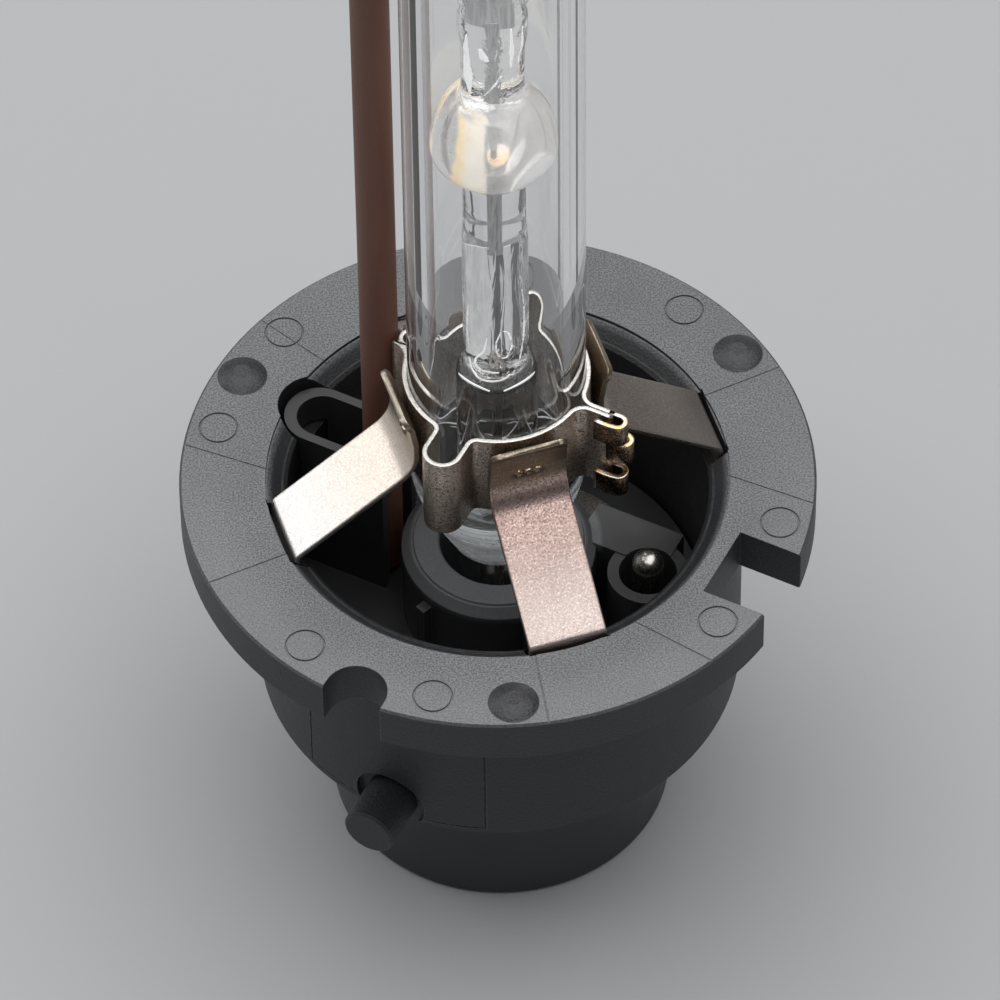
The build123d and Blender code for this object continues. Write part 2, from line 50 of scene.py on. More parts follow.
# ------------------------------------------------------------------ materials
class Shade:
    """A node material with a few short helpers. Lengths are in metres in object coordinates."""

    def __init__(self, name, metallic=0.0, rough=0.5, color=(0.5, 0.5, 0.5)):
        self.m = bpy.data.materials.new(name)
        self.m.use_nodes = True
        self.t = self.m.node_tree
        self.b = self.t.nodes["Principled BSDF"]
        self.b.inputs["Metallic"].default_value = metallic
        self.b.inputs["Roughness"].default_value = rough
        self.b.inputs["Base Color"].default_value = (*color, 1)
        self.tc = self.t.nodes.new("ShaderNodeTexCoord")

    def new(self, kind):
        return self.t.nodes.new(kind)

    def link(self, a, b):
        self.t.links.new(a, b)

    def coords(self, scale=(1, 1, 1), rotate=(0, 0, 0)):
        n = self.new("ShaderNodeMapping")
        n.inputs["Scale"].default_value = scale
        n.inputs["Rotation"].default_value = [math.radians(a) for a in rotate]
        self.link(self.tc.outputs["Object"], n.inputs["Vector"])
        return n.outputs["Vector"]

    def noise(self, size_mm, detail=2.0, rough=0.5, stretch=(1, 1, 1), rotate=(0, 0, 0), distort=0.0):
        """Noise whose features are about size_mm across, longer along an axis whose stretch is below 1."""
        n = self.new("ShaderNodeTexNoise")
        n.inputs["Scale"].default_value = 1.0 / (size_mm * MM)
        n.inputs["Detail"].default_value = detail
        n.inputs["Roughness"].default_value = rough
        n.inputs["Distortion"].default_value = distort
        self.link(self.coords(stretch, rotate), n.inputs["Vector"])
        return n.outputs["Fac"]

    def cells(self, size_mm, feature="F1"):
        n = self.new("ShaderNodeTexVoronoi")
        n.feature = feature
        n.inputs["Scale"].default_value = 1.0 / (size_mm * MM)
        self.link(self.tc.outputs["Object"], n.inputs["Vector"])
        return n.outputs["Distance"]

    def math(self, op, a, b=0.0, c=0.0, clamp=False):
        n = self.new("ShaderNodeMath")
        n.operation = op
        n.use_clamp = clamp
        for i, v in enumerate((a, b, c)):
            if isinstance(v, (int, float)):
                n.inputs[i].default_value = v
            else:
                self.link(v, n.inputs[i])
        return n.outputs[0]

    def span(self, v, lo, hi, to_lo=0.0, to_hi=1.0, smooth=True):
        n = self.new("ShaderNodeMapRange")
        n.interpolation_type = "SMOOTHSTEP" if smooth else "LINEAR"
        n.inputs["From Min"].default_value = lo
        n.inputs["From Max"].default_value = hi
        n.inputs["To Min"].default_value = to_lo
        n.inputs["To Max"].default_value = to_hi
        self.link(v, n.inputs["Value"])
        return n.outputs["Result"]

    def mix(self, fac, a, b):
        n = self.new("ShaderNodeMix")
        n.data_type = "RGBA"
        n.clamp_factor = True
        if isinstance(fac, (int, float)):
            n.inputs["Factor"].default_value = fac
        else:
            self.link(fac, n.inputs["Factor"])
        for v, s in ((a, n.inputs[6]), (b, n.inputs[7])):
            if isinstance(v, tuple):
                s.default_value = (*v, 1)
            else:
                self.link(v, s)
        return n.outputs[2]

    def xyz(self):
        n = self.new("ShaderNodeSeparateXYZ")
        self.link(self.tc.outputs["Object"], n.inputs[0])
        return n.outputs[0], n.outputs[1], n.outputs[2]

    def normal_z(self):
        g = self.new("ShaderNodeNewGeometry")
        n = self.new("ShaderNodeSeparateXYZ")
        self.link(g.outputs["Normal"], n.inputs[0])
        return n.outputs[2]

    def edge(self, radius_mm, lo=0.02, hi=0.25):
        """1 on a sharp edge and 0 away from it."""
        bev = self.new("ShaderNodeBevel")
        bev.samples = 4
        bev.inputs["Radius"].default_value = radius_mm * MM
        g = self.new("ShaderNodeNewGeometry")
        d = self.new("ShaderNodeVectorMath")
        d.operation = "DOT_PRODUCT"
        self.link(bev.outputs[0], d.inputs[0])
        self.link(g.outputs["Normal"], d.inputs[1])
        return self.span(self.math("SUBTRACT", 1.0, d.outputs["Value"]), lo, hi)

    def bump(self, height, depth_mm, strength=1.0, base=None):
        n = self.new("ShaderNodeBump")
        n.inputs["Strength"].default_value = strength
        n.inputs["Distance"].default_value = depth_mm * MM
        self.link(height, n.inputs["Height"])
        if base is not None:
            self.link(base, n.inputs["Normal"])
        return n.outputs[0]

    def rounded(self, radius_mm):
        bev = self.new("ShaderNodeBevel")
        bev.samples = 4
        bev.inputs["Radius"].default_value = radius_mm * MM
        return bev.outputs[0]

    def set(self, **sockets):
        for name, v in sockets.items():
            s = self.b.inputs[name.replace("_", " ")]
            if isinstance(v, (int, float)):
                s.default_value = v
            elif isinstance(v, tuple):
                s.default_value = (*v, 1)
            else:
                self.link(v, s)
        return self


def housing_material():
    s = Shade("housing_charcoal")
    x, y, z = s.xyz()
    up = s.span(s.normal_z(), 0.6, 0.9)
    high = s.span(z, 24.0 * MM, 24.3 * MM)
    top = s.math("MULTIPLY", up, high)
    grain = s.noise(0.10, 3, 0.75)
    pores = s.cells(0.16)
    cloud = s.noise(4.5, 3, 0.6)
    scuff = s.noise(0.9, 4, 0.8, stretch=(1, 0.22, 1), rotate=(0, 0, 35))
    side = s.mix(cloud, (0.0135, 0.0145, 0.0165), (0.026, 0.0275, 0.030))
    side = s.mix(s.span(grain, 0.54, 0.66, 0, 0.7), side, (0.055, 0.057, 0.061))
    face = s.mix(s.span(grain, 0.36, 0.64), (0.076, 0.079, 0.084), (0.315, 0.320, 0.328))
    face = s.mix(s.span(scuff, 0.62, 0.8, 0, 0.35), face, (0.24, 0.243, 0.248))
    face = s.mix(s.span(cloud, 0.3, 0.75, 0, 0.3), face, (0.115, 0.118, 0.124))
    dots = s.span(s.cells(0.55), 0.07, 0.13, 1, 0)
    face = s.mix(s.math("MULTIPLY", dots, s.span(grain, 0.48, 0.62)), face, (0.36, 0.365, 0.37))
    rr = s.math("SQRT", s.math("ADD", s.math("MULTIPLY", x, x), s.math("MULTIPLY", y, y)))
    # painted light: the flange top is lighter towards its outer edge at the front
    lift = s.math("MULTIPLY", s.span(rr, 12.8 * MM, 15.8 * MM, 0.02, 0.30), s.span(y, -8 * MM, 6 * MM, 1, 0.1))
    face = s.mix(lift, face, (0.34, 0.345, 0.352))
    # painted shade: the flange top is darker towards the back on the right
    far = s.math("MULTIPLY", s.span(y, 3 * MM, 11 * MM), s.span(x, -2 * MM, 6 * MM))
    face = s.mix(s.math("MULTIPLY", far, 0.14), face, (0.06, 0.062, 0.065))
    # the up-facing flange top is much lighter than the dark walls: partly its spark-eroded finish, partly painted light
    # from above
    col = s.mix(top, side, face)
    boss = s.span(z, 24.512 * MM, 24.53 * MM)
    col = s.mix(boss, col, s.mix(s.span(grain, 0.35, 0.65), (0.030, 0.031, 0.034), (0.066, 0.068, 0.072)))
    # edges lighter: partly rubbed wear, partly a painted highlight along them
    edge_wear_and_highlight = s.edge(0.10, 0.03, 0.22)
    col = s.mix(s.math("MULTIPLY", edge_wear_and_highlight, s.span(s.noise(0.5, 3, 0.7), 0.3, 0.7, 0.25, 0.95)), col, (0.20, 0.205, 0.212))
    # painted shade: the housing is near black inside the well, within 11 mm of the axis
    well = s.span(rr, 11.0 * MM, 11.5 * MM)
    col = s.mix(well, (0.012, 0.0125, 0.0135), col)
    height = s.math("ADD", s.math("MULTIPLY", grain, 0.6), s.math("MULTIPLY", pores, 0.8))
    fine = s.bump(height, 0.030, 0.8, s.rounded(0.05))
    rough = s.span(s.math("ADD", grain, s.math("MULTIPLY", cloud, 0.3)), 0.3, 1.0, 0.42, 0.62)
    rough = s.math("SUBTRACT", rough, s.math("MULTIPLY", boss, 0.2))
    s.set(Base_Color=col, Roughness=rough, Normal=fine, Specular_IOR_Level=0.5)
    return s.m


def insulator_material():
    s = Shade("insulator_black")
    cloud = s.noise(3.0, 3, 0.6)
    grain = s.noise(0.12, 2, 0.6)
    col = s.mix(cloud, (0.020, 0.0205, 0.022), (0.044, 0.045, 0.048))
    x, y, z = s.xyz()
    rr = s.math("SQRT", s.math("ADD", s.math("MULTIPLY", x, x), s.math("MULTIPLY", y, y)))
    # painted light: the top of the collar is lighter than the rest of the insulator
    rim = s.math("MULTIPLY", s.span(z, 18.3 * MM, 18.9 * MM), s.span(rr, 5.3 * MM, 5.6 * MM, 1, 0))
    col = s.mix(rim, col, s.mix(grain, (0.082, 0.084, 0.088), (0.150, 0.153, 0.158)))
    # edges lighter: partly rubbed wear, partly a painted highlight along them
    edge_wear_and_highlight = s.edge(0.09, 0.04, 0.25)
    col = s.mix(s.math("MULTIPLY", edge_wear_and_highlight, 0.6), col, (0.16, 0.165, 0.17))
    rough = s.span(cloud, 0.3, 0.7, 0.30, 0.44)
    s.set(Base_Color=col, Roughness=rough, Normal=s.bump(grain, 0.008, 0.5, s.rounded(0.07)))
    return s.m


def tab_material(name, angle):
    """Rose-tinted satin strip, rolled lengthwise, with a painted highlight along its sheared edges."""
    s = Shade(name, metallic=1.0)
    x, y, z = s.xyz()
    streak = s.noise(0.09, 4, 0.65, stretch=(0.10, 1, 1), rotate=(0, 0, -angle))
    peel = s.noise(0.11, 3, 0.8)
    fine = s.noise(0.06, 2, 0.7)
    cloud = s.noise(1.6, 3, 0.6)
    zone = s.math("MULTIPLY", s.span(z, 26.2 * MM, 29.3 * MM, 0.30, 1.0), s.span(z, 29.9 * MM, 30.6 * MM, 1.0, 0.35))
    low = s.mix(cloud, (0.77, 0.635, 0.58), (0.87, 0.74, 0.685))
    tint = s.mix(cloud, (0.54, 0.375, 0.33), (0.68, 0.495, 0.445))
    high = s.mix(cloud, (0.29, 0.235, 0.16), (0.46, 0.385, 0.285))
    # painted shade: the right tab gets a darker, less pink copy of the same steel, as it stands in shade
    if name.endswith("right"):
        low = s.mix(cloud, (0.56, 0.50, 0.44), (0.66, 0.60, 0.54))
        tint = s.mix(cloud, (0.40, 0.345, 0.295), (0.53, 0.46, 0.40))
    # painted light: the left tab gets a lighter, whiter copy of the same steel, as it faces the left lamp
    if name.endswith("left"):
        low = s.mix(cloud, (0.90, 0.87, 0.845), (0.95, 0.925, 0.90))
        tint = s.mix(cloud, (0.88, 0.77, 0.67), (0.95, 0.85, 0.75))
        high = s.mix(cloud, (0.52, 0.45, 0.36), (0.74, 0.66, 0.54))
    col = s.mix(s.span(z, 24.8 * MM, 28.6 * MM), low, tint)
    col = s.mix(s.span(z, 29.2 * MM, 30.6 * MM), col, high)
    col = s.mix(s.math("MULTIPLY", s.span(peel, 0.51, 0.59), s.math("MULTIPLY", zone, 0.20 if name.endswith("left") else 0.85)), col, (0.16, 0.115, 0.10))
    col = s.mix(s.math("MULTIPLY", s.span(peel, 0.42, 0.36), 0.5), col, (0.97, 0.88, 0.83))
    turn = math.radians(angle)
    v = s.math("SUBTRACT", s.math("MULTIPLY", y, math.cos(turn)), s.math("MULTIPLY", x, math.sin(turn)))
    hv = s.math("MULTIPLY", v, 1 / (1.15 * MM))
    hz = s.math("MULTIPLY", s.math("SUBTRACT", z, 30.62 * MM), 1 / (0.42 * MM))
    halo = s.math("SQRT", s.math("ADD", s.math("MULTIPLY", hv, hv), s.math("MULTIPLY", hz, hz)))
    halo = s.math("ADD", halo, s.math("MULTIPLY", s.math("SUBTRACT", peel, 0.5), 0.8))
    col = s.mix(s.span(halo, 0.55, 1.05, 0.8, 0), col, (0.11, 0.08, 0.055))
    shade = s.math("MULTIPLY", s.span(z, 32.2 * MM, 32.55 * MM, 0, 0.55), s.span(z, 32.75 * MM, 32.95 * MM, 1, 0))
    col = s.mix(shade, col, (0.16, 0.13, 0.11))
    col = s.mix(s.span(streak, 0.5, 0.8, 0, 0.25), col, (0.93, 0.86, 0.80))
    spots = s.span(s.noise(0.35, 3, 0.75), 0.66, 0.80)
    col = s.mix(s.math("MULTIPLY", spots, 0.4), col, (0.40, 0.30, 0.26))
    # painted highlight along the sheared edges
    cut_edge_highlight = s.edge(0.06, 0.03, 0.2)
    col = s.mix(s.math("MULTIPLY", cut_edge_highlight, 0.8), col, (0.95, 0.92, 0.87))
    rough = s.math("ADD", s.span(peel, 0.3, 0.7, 0.24, 0.42), s.math("MULTIPLY", spots, 0.08))
    height = s.math("ADD", s.math("MULTIPLY", peel, 1.0), s.math("MULTIPLY", fine, 0.5))
    s.set(Base_Color=col, Roughness=rough, Normal=s.bump(height, 0.018, 0.7))
    return s.m


def band_material():
    """Heat-tinted steel: dark bronze with a sparkling grain, soft bright streaks down its height painted as
    reflections, and a painted highlight on its upward faces.
    """
    s = Shade("band_heat_tinted_steel", metallic=1.0)
    streak = s.noise(0.55, 3, 0.6, stretch=(1, 1, 0.08))
    peel = s.noise(0.115, 3, 0.85)
    cloud = s.noise(1.2, 3, 0.6)
    col = s.mix(cloud, (0.66, 0.55, 0.46), (0.97, 0.84, 0.72))
    # painted reflections: soft bright streaks down the height
    col = s.mix(s.span(streak, 0.46, 0.62, 0, 0.8), col, (0.97, 0.84, 0.72))
    col = s.mix(s.span(peel, 0.51, 0.57, 0, 0.85), col, (0.07, 0.055, 0.05))
    col = s.mix(s.span(peel, 0.36, 0.30, 0, 0.6), col, (0.98, 0.88, 0.76))
    # painted highlight: the upward faces are near white
    up = s.span(s.normal_z(), 0.45, 0.8)
    col = s.mix(up, col, (0.98, 0.95, 0.90))
    rough = s.span(peel, 0.3, 0.7, 0.22, 0.42)
    height = s.math("ADD", s.math("MULTIPLY", streak, 0.6), peel)
    s.set(Base_Color=col, Roughness=rough, Normal=s.bump(height, 0.032, 0.85))
    return s.m


def ear_material():
    """Dark heat tint on the flats, brassy where the sheared edges catch the light."""
    s = Shade("crimp_ear_gold_edge", metallic=1.0)
    cloud = s.noise(0.40, 3, 0.7)
    grain = s.noise(0.10, 3, 0.75)
    streak = s.noise(0.05, 3, 0.6)
    col = s.mix(s.span(cloud, 0.42, 0.60), (0.105, 0.085, 0.070), (0.30, 0.22, 0.155))
    col = s.mix(s.span(grain, 0.56, 0.66, 0, 0.8), col, (0.85, 0.58, 0.32))
    up = s.span(s.normal_z(), 0.35, 0.75)
    col = s.mix(up, col, s.mix(s.span(cloud, 0.44, 0.58), (0.98, 0.92, 0.82), (0.97, 0.66, 0.32)))
    cut_edge_highlight = s.edge(0.09, 0.03, 0.2)
    col = s.mix(s.math("MULTIPLY", cut_edge_highlight, s.span(streak, 0.35, 0.5, 0.4, 0.9)), col, (0.99, 0.80, 0.54))
    s.set(Base_Color=col, Roughness=s.span(streak, 0.3, 0.7, 0.14, 0.30), Normal=s.bump(streak, 0.012, 0.6))
    return s.m


def metal_material(name, dark, light, rough_lo, rough_hi, size=0.08, stretch=(1, 1, 0.08), depth=0.003):
    s = Shade(name, metallic=1.0)
    streak = s.noise(size, 3, 0.65, stretch=stretch)
    cloud = s.noise(0.8, 3, 0.6)
    col = s.mix(cloud, dark, light)
    col = s.mix(s.span(streak, 0.5, 0.8, 0, 0.4), col, light)
    s.set(Base_Color=col, Roughness=s.span(streak, 0.2, 0.8, rough_lo, rough_hi), Normal=s.bump(streak, depth, 0.5))
    return s.m


def ceramic_material():
    s = Shade("return_tube_steatite")
    grain = s.noise(0.16, 4, 0.7)
    bands = s.noise(0.9, 3, 0.6, stretch=(1, 1, 0.12))
    col = s.mix(bands, (0.125, 0.050, 0.031), (0.190, 0.083, 0.055))
    col = s.mix(s.span(grain, 0.55, 0.8, 0, 0.4), col, (0.24, 0.125, 0.09))
    s.set(Base_Color=col, Roughness=s.span(grain, 0.3, 0.7, 0.5, 0.64), Normal=s.bump(grain, 0.012, 0.5))
    return s.m


def quartz_material(name, tint=(1.0, 1.0, 1.0), wave_mm=0.0015, worked=(), haze=None):
    """Clear drawn quartz: long faint draw lines, rippled where the flame has worked it. Heights in mm."""
    s = Shade(name, rough=0.0)
    x, y, z = s.xyz()
    draw = s.noise(0.55, 2, 0.5, stretch=(1, 1, 0.035))
    col = s.mix(s.noise(2.5, 2, 0.5), tint, tuple(c * 0.985 for c in tint))
    nrm = s.bump(draw, wave_mm, 0.5)
    for z0, z1, size, stretch, depth in worked:
        swirl = s.noise(size, 2, 0.55, stretch=(1, 1, stretch), distort=1.2)
        inside = s.math("MULTIPLY", s.span(z, (z0 - 0.4) * MM, (z0 + 0.2) * MM), s.span(z, (z1 - 0.2) * MM, (z1 + 0.6) * MM, 1, 0))
        nrm = s.bump(s.math("MULTIPLY", swirl, inside), depth, 1.0, nrm)
    rough = s.span(s.noise(0.7, 3, 0.6), 0.5, 0.9, 0.0, 0.03)
    if haze:
        z0, z1, amount = haze
        mask = s.math("MULTIPLY", s.span(z, (z0 - 0.2) * MM, (z0 + 0.2) * MM), s.span(z, (z1 - 0.8) * MM, (z1 + 0.4) * MM, 1, 0))
        rough = s.math("ADD", rough, s.math("MULTIPLY", mask, s.span(s.noise(0.5, 3, 0.7), 0.3, 0.7, amount * 0.4, amount)))
    s.set(Base_Color=col, Transmission_Weight=1.0, IOR=1.458, Normal=nrm, Roughness=rough)
    return s.m


def salts_material():
    """A milky film over the whole wall: a cream band on the left, burnt orange at the bottom, and white crescents at
    its rim that are painted highlights; it glows faintly, which is painted light.
    """
    s = Shade("halide_film")
    cloud = s.noise(0.75, 4, 0.65)
    soft = s.noise(1.3, 3, 0.6)
    grain = s.noise(0.09, 3, 0.7)
    fleck = s.span(s.noise(0.22, 3, 0.7), 0.62, 0.74)
    x, y, z = s.xyz()
    dz = s.math("SUBTRACT", z, Z_ARC * MM)
    shift = s.math("MULTIPLY", s.math("SUBTRACT", cloud, 0.5), 0.30 * MM)
    xs = s.math("ADD", x, shift)
    band = s.math("MULTIPLY", s.span(xs, -1.66 * MM, -1.42 * MM), s.span(xs, -0.44 * MM, -0.22 * MM, 1, 0))
    band = s.math("MULTIPLY", band, s.span(dz, -2.3 * MM, -2.0 * MM))
    band = s.math("MULTIPLY", band, s.span(dz, 1.7 * MM, 2.3 * MM, 1, 0))
    ex = s.math("MULTIPLY", s.math("SUBTRACT", xs, 0.30 * MM), 1 / (0.85 * MM))
    ey = s.math("MULTIPLY", s.math("ADD", y, 0.05 * MM), 1 / (0.62 * MM))
    spot = s.math("SQRT", s.math("ADD", s.math("MULTIPLY", ex, ex), s.math("MULTIPLY", ey, ey)))
    spot = s.math("MULTIPLY", s.span(spot, 0.8, 1.1, 1, 0), s.span(dz, -2.2 * MM, -1.9 * MM, 1, 0))
    # painted highlights: white crescents, as caps of the film about fixed directions
    def cap(d, lo, hi):
        t = s.math("MULTIPLY", x, d[0])
        t = s.math("ADD", t, s.math("MULTIPLY", y, d[1]))
        t = s.math("ADD", t, s.math("MULTIPLY", dz, d[2]))
        t = s.math("ADD", t, s.math("MULTIPLY", s.math("SUBTRACT", soft, 0.5), 0.07 * MM))
        return s.span(t, lo * MM, hi * MM)
    low_right = cap((0.72, -0.52, -0.45), 2.03, 2.13)
    top_left = s.math("MULTIPLY", cap((-0.44, -0.10, 0.89), 2.44, 2.54), s.span(cloud, 0.46, 0.58, 0, 0.8))
    right = s.span(xs, 0.15 * MM, 0.75 * MM)
    haze = s.mix(right, (0.80, 0.81, 0.82), (0.90, 0.885, 0.86))
    haze = s.mix(s.span(cloud, 0.35, 0.7, 0, 0.6), haze, (0.97, 0.97, 0.96))
    cream = s.mix(s.span(xs, -1.40 * MM, -0.95 * MM, 1, 0), s.mix(s.span(soft, 0.4, 0.6), (0.96, 0.86, 0.70), (0.985, 0.93, 0.83)), (0.97, 0.78, 0.50))
    cream = s.mix(s.math("MULTIPLY", fleck, 0.7), cream, (0.95, 0.66, 0.34))
    orange = s.mix(s.span(y, -0.35 * MM, 0.25 * MM), (0.96, 0.70, 0.44), (0.97, 0.88, 0.78))
    col = s.mix(band, haze, cream)
    col = s.mix(spot, col, orange)
    # painted highlight: the crescents turn white and opaque
    bright = s.math("ADD", low_right, top_left, clamp=True)
    col = s.mix(bright, col, (1.0, 1.0, 1.0))
    alpha = s.span(soft, 0.3, 0.7, 0.26, 0.38)
    alpha = s.math("ADD", alpha, s.math("MULTIPLY", right, 0.14))
    alpha = s.math("ADD", alpha, s.math("MULTIPLY", band, s.span(cloud, 0.3, 0.7, 0.54, 0.68)))
    alpha = s.math("ADD", alpha, s.math("MULTIPLY", spot, 0.5))
    alpha = s.math("ADD", alpha, s.math("MULTIPLY", bright, 0.6), clamp=True)
    # painted light: the film glows, most in the cream band, the orange spot and the crescents
    glow = s.math("ADD", s.span(soft, 0.3, 0.7, 0.03, 0.07), s.math("MULTIPLY", s.math("ADD", s.math("ADD", band, spot, clamp=True), s.math("MULTIPLY", bright, 0.5), clamp=True), 0.36))
    s.set(Base_Color=col, Roughness=s.span(grain, 0.2, 0.8, 0.35, 0.6), Normal=s.bump(grain, 0.02, 0.5), Alpha=alpha)
    s.set(Emission_Color=col, Emission_Strength=glow)
    return s.m


def glowing_sheet_material(name, size, stretch, lo, hi, top=0.95, tone=(0.97, 0.975, 0.98), glow=0.38):
    """Thin white sheets that glow faintly, which is painted light: white where the noise is high, clear elsewhere."""
    s = Shade(name)
    streak = s.noise(size, 3, 0.6, stretch=stretch, distort=0.8)
    grain = s.noise(0.1, 2, 0.6)
    col = s.mix(s.span(grain, 0.35, 0.65), tone, tuple(c * 0.9 for c in tone))
    s.set(Base_Color=col, Roughness=s.span(grain, 0.2, 0.8, 0.2, 0.4), Normal=s.bump(grain, 0.01, 0.4), Alpha=s.span(streak, lo, hi, 0.0, top))
    # painted light: the sheets glow
    s.set(Emission_Color=col, Emission_Strength=s.span(grain, 0.3, 0.7, glow * 0.8, glow * 1.2))
    return s.m


def floor_material():
    s = Shade("studio_floor")
    wide = s.noise(120.0, 3, 0.55)
    tooth = s.noise(1.4, 3, 0.6)
    col = s.mix(wide, (0.545, 0.552, 0.562), (0.575, 0.581, 0.590))
    s.set(Base_Color=col, Roughness=0.85, Normal=s.bump(tooth, 0.05, 0.25), Specular_IOR_Level=0.2)
    return s.m


# ------------------------------------------------------------- mesh utilities
def mesh_object(name, verts, faces, mat, smooth=True, metres=False):
    me = bpy.data.meshes.new(name)
    k = 1.0 if metres else MM
    me.from_pydata([(x * k, y * k, z * k) for x, y, z in verts], [], faces)
    me.validate()
    me.polygons.foreach_set("use_smooth", [smooth] * len(me.polygons))
    me.update()
    o = bpy.data.objects.new(name, me)
    bpy.context.scene.collection.objects.link(o)
    me.materials.append(mat)
    return o


def hermite(points, tangents=None, per=10):
    """Smooth points through the given ones (Catmull-Rom with optional end tangents)."""
    pts = [Vector(p) for p in points]
    n = len(pts)
    tan = []
    for i in range(n):
        if 0 < i < n - 1:
            tan.append((pts[i + 1] - pts[i - 1]) * 0.5)
        elif i == 0:
            d = (pts[1] - pts[0]).length
            tan.append(Vector(tangents[0]).normalized() * d if tangents else pts[1] - pts[0])
        else:
            d = (pts[-1] - pts[-2]).length
            tan.append(Vector(tangents[1]).normalized() * d if tangents else pts[-1] - pts[-2])
    out = []
    for i in range(n - 1):
        for j in range(per):
            t = j / per
            h00, h10 = 2 * t ** 3 - 3 * t ** 2 + 1, t ** 3 - 2 * t ** 2 + t
            h01, h11 = -2 * t ** 3 + 3 * t ** 2, t ** 3 - t ** 2
            out.append(tuple(h00 * pts[i] + h10 * tan[i] + h01 * pts[i + 1] + h11 * tan[i + 1]))
    out.append(tuple(pts[-1]))
    return out


def lathe_mesh(profiles, seg=160, wobble=None):
    """Verts and faces of closed surfaces of revolution. Each profile is a list of (r, z), a closed loop or an axis-to-axis line."""
    verts, faces = [], []
    for pts, closed in profiles:
        rings = []
        for r, z in pts:
            if r < 1e-6:
                rings.append([len(verts)])
                verts.append((0.0, 0.0, z))
            else:
                row = []
                for k in range(seg):
                    a = 2 * math.pi * k / seg
                    rr, zz = (r, z) if wobble is None else wobble(r, z, a)
                    row.append(len(verts))
                    verts.append((rr * math.cos(a), rr * math.sin(a), zz))
                rings.append(row)
        pairs = list(zip(rings, rings[1:]))
        if closed:
            pairs.append((rings[-1], rings[0]))
        for a, b in pairs:
            for k in range(seg):
                k2 = (k + 1) % seg
                if len(a) == 1 and len(b) == 1:
                    continue
                if len(a) == 1:
                    faces.append((a[0], b[k2], b[k]))
                elif len(b) == 1:
                    faces.append((a[k], a[k2], b[0]))
                else:
                    faces.append((a[k], a[k2], b[k2], b[k]))
    return verts, faces


def offset_pts(points, closed=False):
    """(point, unit normal) along a 2-D path."""
    out = []
    n = len(points)
    for i, p in enumerate(points):
        a = points[i - 1] if (i > 0 or closed) else points[i]
        b = points[(i + 1) % n] if (i < n - 1 or closed) else points[i]
        dx, dy = b[0] - a[0], b[1] - a[1]
        d = math.hypot(dx, dy) or 1.0
        out.append((p, (-dy / d, dx / d)))
    return out


def strip(name, points, half_t, w0, w1, place, mat, bevel=0.06, width_of=None, bow=None):
    """A sheet-metal strip: a 2-D centreline swept over a width, with rounded sheared edges and closed ends."""
    t = half_t
    b = min(bevel, half_t * 0.95)
    arc = [math.radians(q) for q in (0, 30, 60, 90)]
    section = []
    for su, sw, cu, cw, order in ((1, 1, t - b, None, 0), (-1, 1, -(t - b), None, 1), (-1, -1, -(t - b), None, 2), (1, -1, t - b, None, 3)):
        for q in arc:
            c, s_ = math.cos(q), math.sin(q)
            if order in (0, 2):
                du, dw = c, s_
            else:
                du, dw = s_, c
            section.append((su, sw, cu, du * b, dw * b))
    verts, faces, rows = [], [], []
    path = offset_pts(points)
    for i, (p, nrm) in enumerate(path):
        lo, hi = (w0, w1) if width_of is None else width_of(i, p)
        row = []
        for su, sw, cu, du, dw in section:
            w = (hi - b + dw) if sw > 0 else (lo + b - dw)
            n = cu + su * du
            if bow is not None:
                n += bow(i, p, w)
            row.append(len(verts))
            verts.append(place(p[0] + nrm[0] * n, p[1] + nrm[1] * n, w))
        rows.append(row)
    m = len(section)
    for a, c in zip(rows, rows[1:]):
        for k in range(m):
            k2 = (k + 1) % m
            faces.append((a[k], c[k], c[k2], a[k2]))
    faces.append(tuple(rows[0]))
    faces.append(tuple(reversed(rows[-1])))
    o = mesh_object(name, verts, faces, mat)
    mod = o.modifiers.new("normals", "WEIGHTED_NORMAL")
    mod.keep_sharp = True
    return o


def fillet_path(points, radii, per=14, step=None):
    """A polyline with rounded corners."""
    out = [points[0]]
    for i in range(1, len(points) - 1):
        p, a, b = Vector(points[i]), Vector(points[i - 1]), Vector(points[i + 1])
        u, v = (a - p).normalized(), (b - p).normalized()
        ang = u.angle(v)
        d = radii[i - 1] / math.tan(ang / 2)
        c = p + (u + v).normalized() * (radii[i - 1] / math.sin(ang / 2))
        s0, s1 = p + u * d - c, p + v * d - c
        a0 = math.atan2(s0.y, s0.x)
        turn = (math.atan2(s1.y, s1.x) - a0 + math.pi) % (2 * math.pi) - math.pi
        for k in range(per + 1):
            q = a0 + turn * k / per
            out.append((c.x + radii[i - 1] * math.cos(q), c.y + radii[i - 1] * math.sin(q)))
    out.append(points[-1])
    if step:
        fine = [out[0]]
        for a, b in zip(out, out[1:]):
            d = math.hypot(b[0] - a[0], b[1] - a[1])
            k = max(1, int(math.ceil(d / step)))
            fine += [(a[0] + (b[0] - a[0]) * j / k, a[1] + (b[1] - a[1]) * j / k) for j in range(1, k + 1)]
        out = fine
    return out


def turned(angle):
    c, s = math.cos(math.radians(angle)), math.sin(math.radians(angle))
    return lambda u, v: (u * c - v * s, u * s + v * c)


def stand_in(o, slot, *nodes):
    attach(o, "root")
    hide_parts(*nodes)
    return o


def paint(node, mat):
    o = N[node]
    o.data.materials.clear()
    o.data.materials.append(mat)


# ------------------------------------------------------------- moulded pieces
paint("base_housing", housing_material())
paint("inner_insulator", insulator_material())

contact = metal_material("nickel_contact", (0.42, 0.40, 0.37), (0.66, 0.63, 0.58), 0.18, 0.34)
for node in ("outer_contact_ring", "return_bus_strip", "terminal_post", "centre_contact_pin"):
    paint(node, contact)

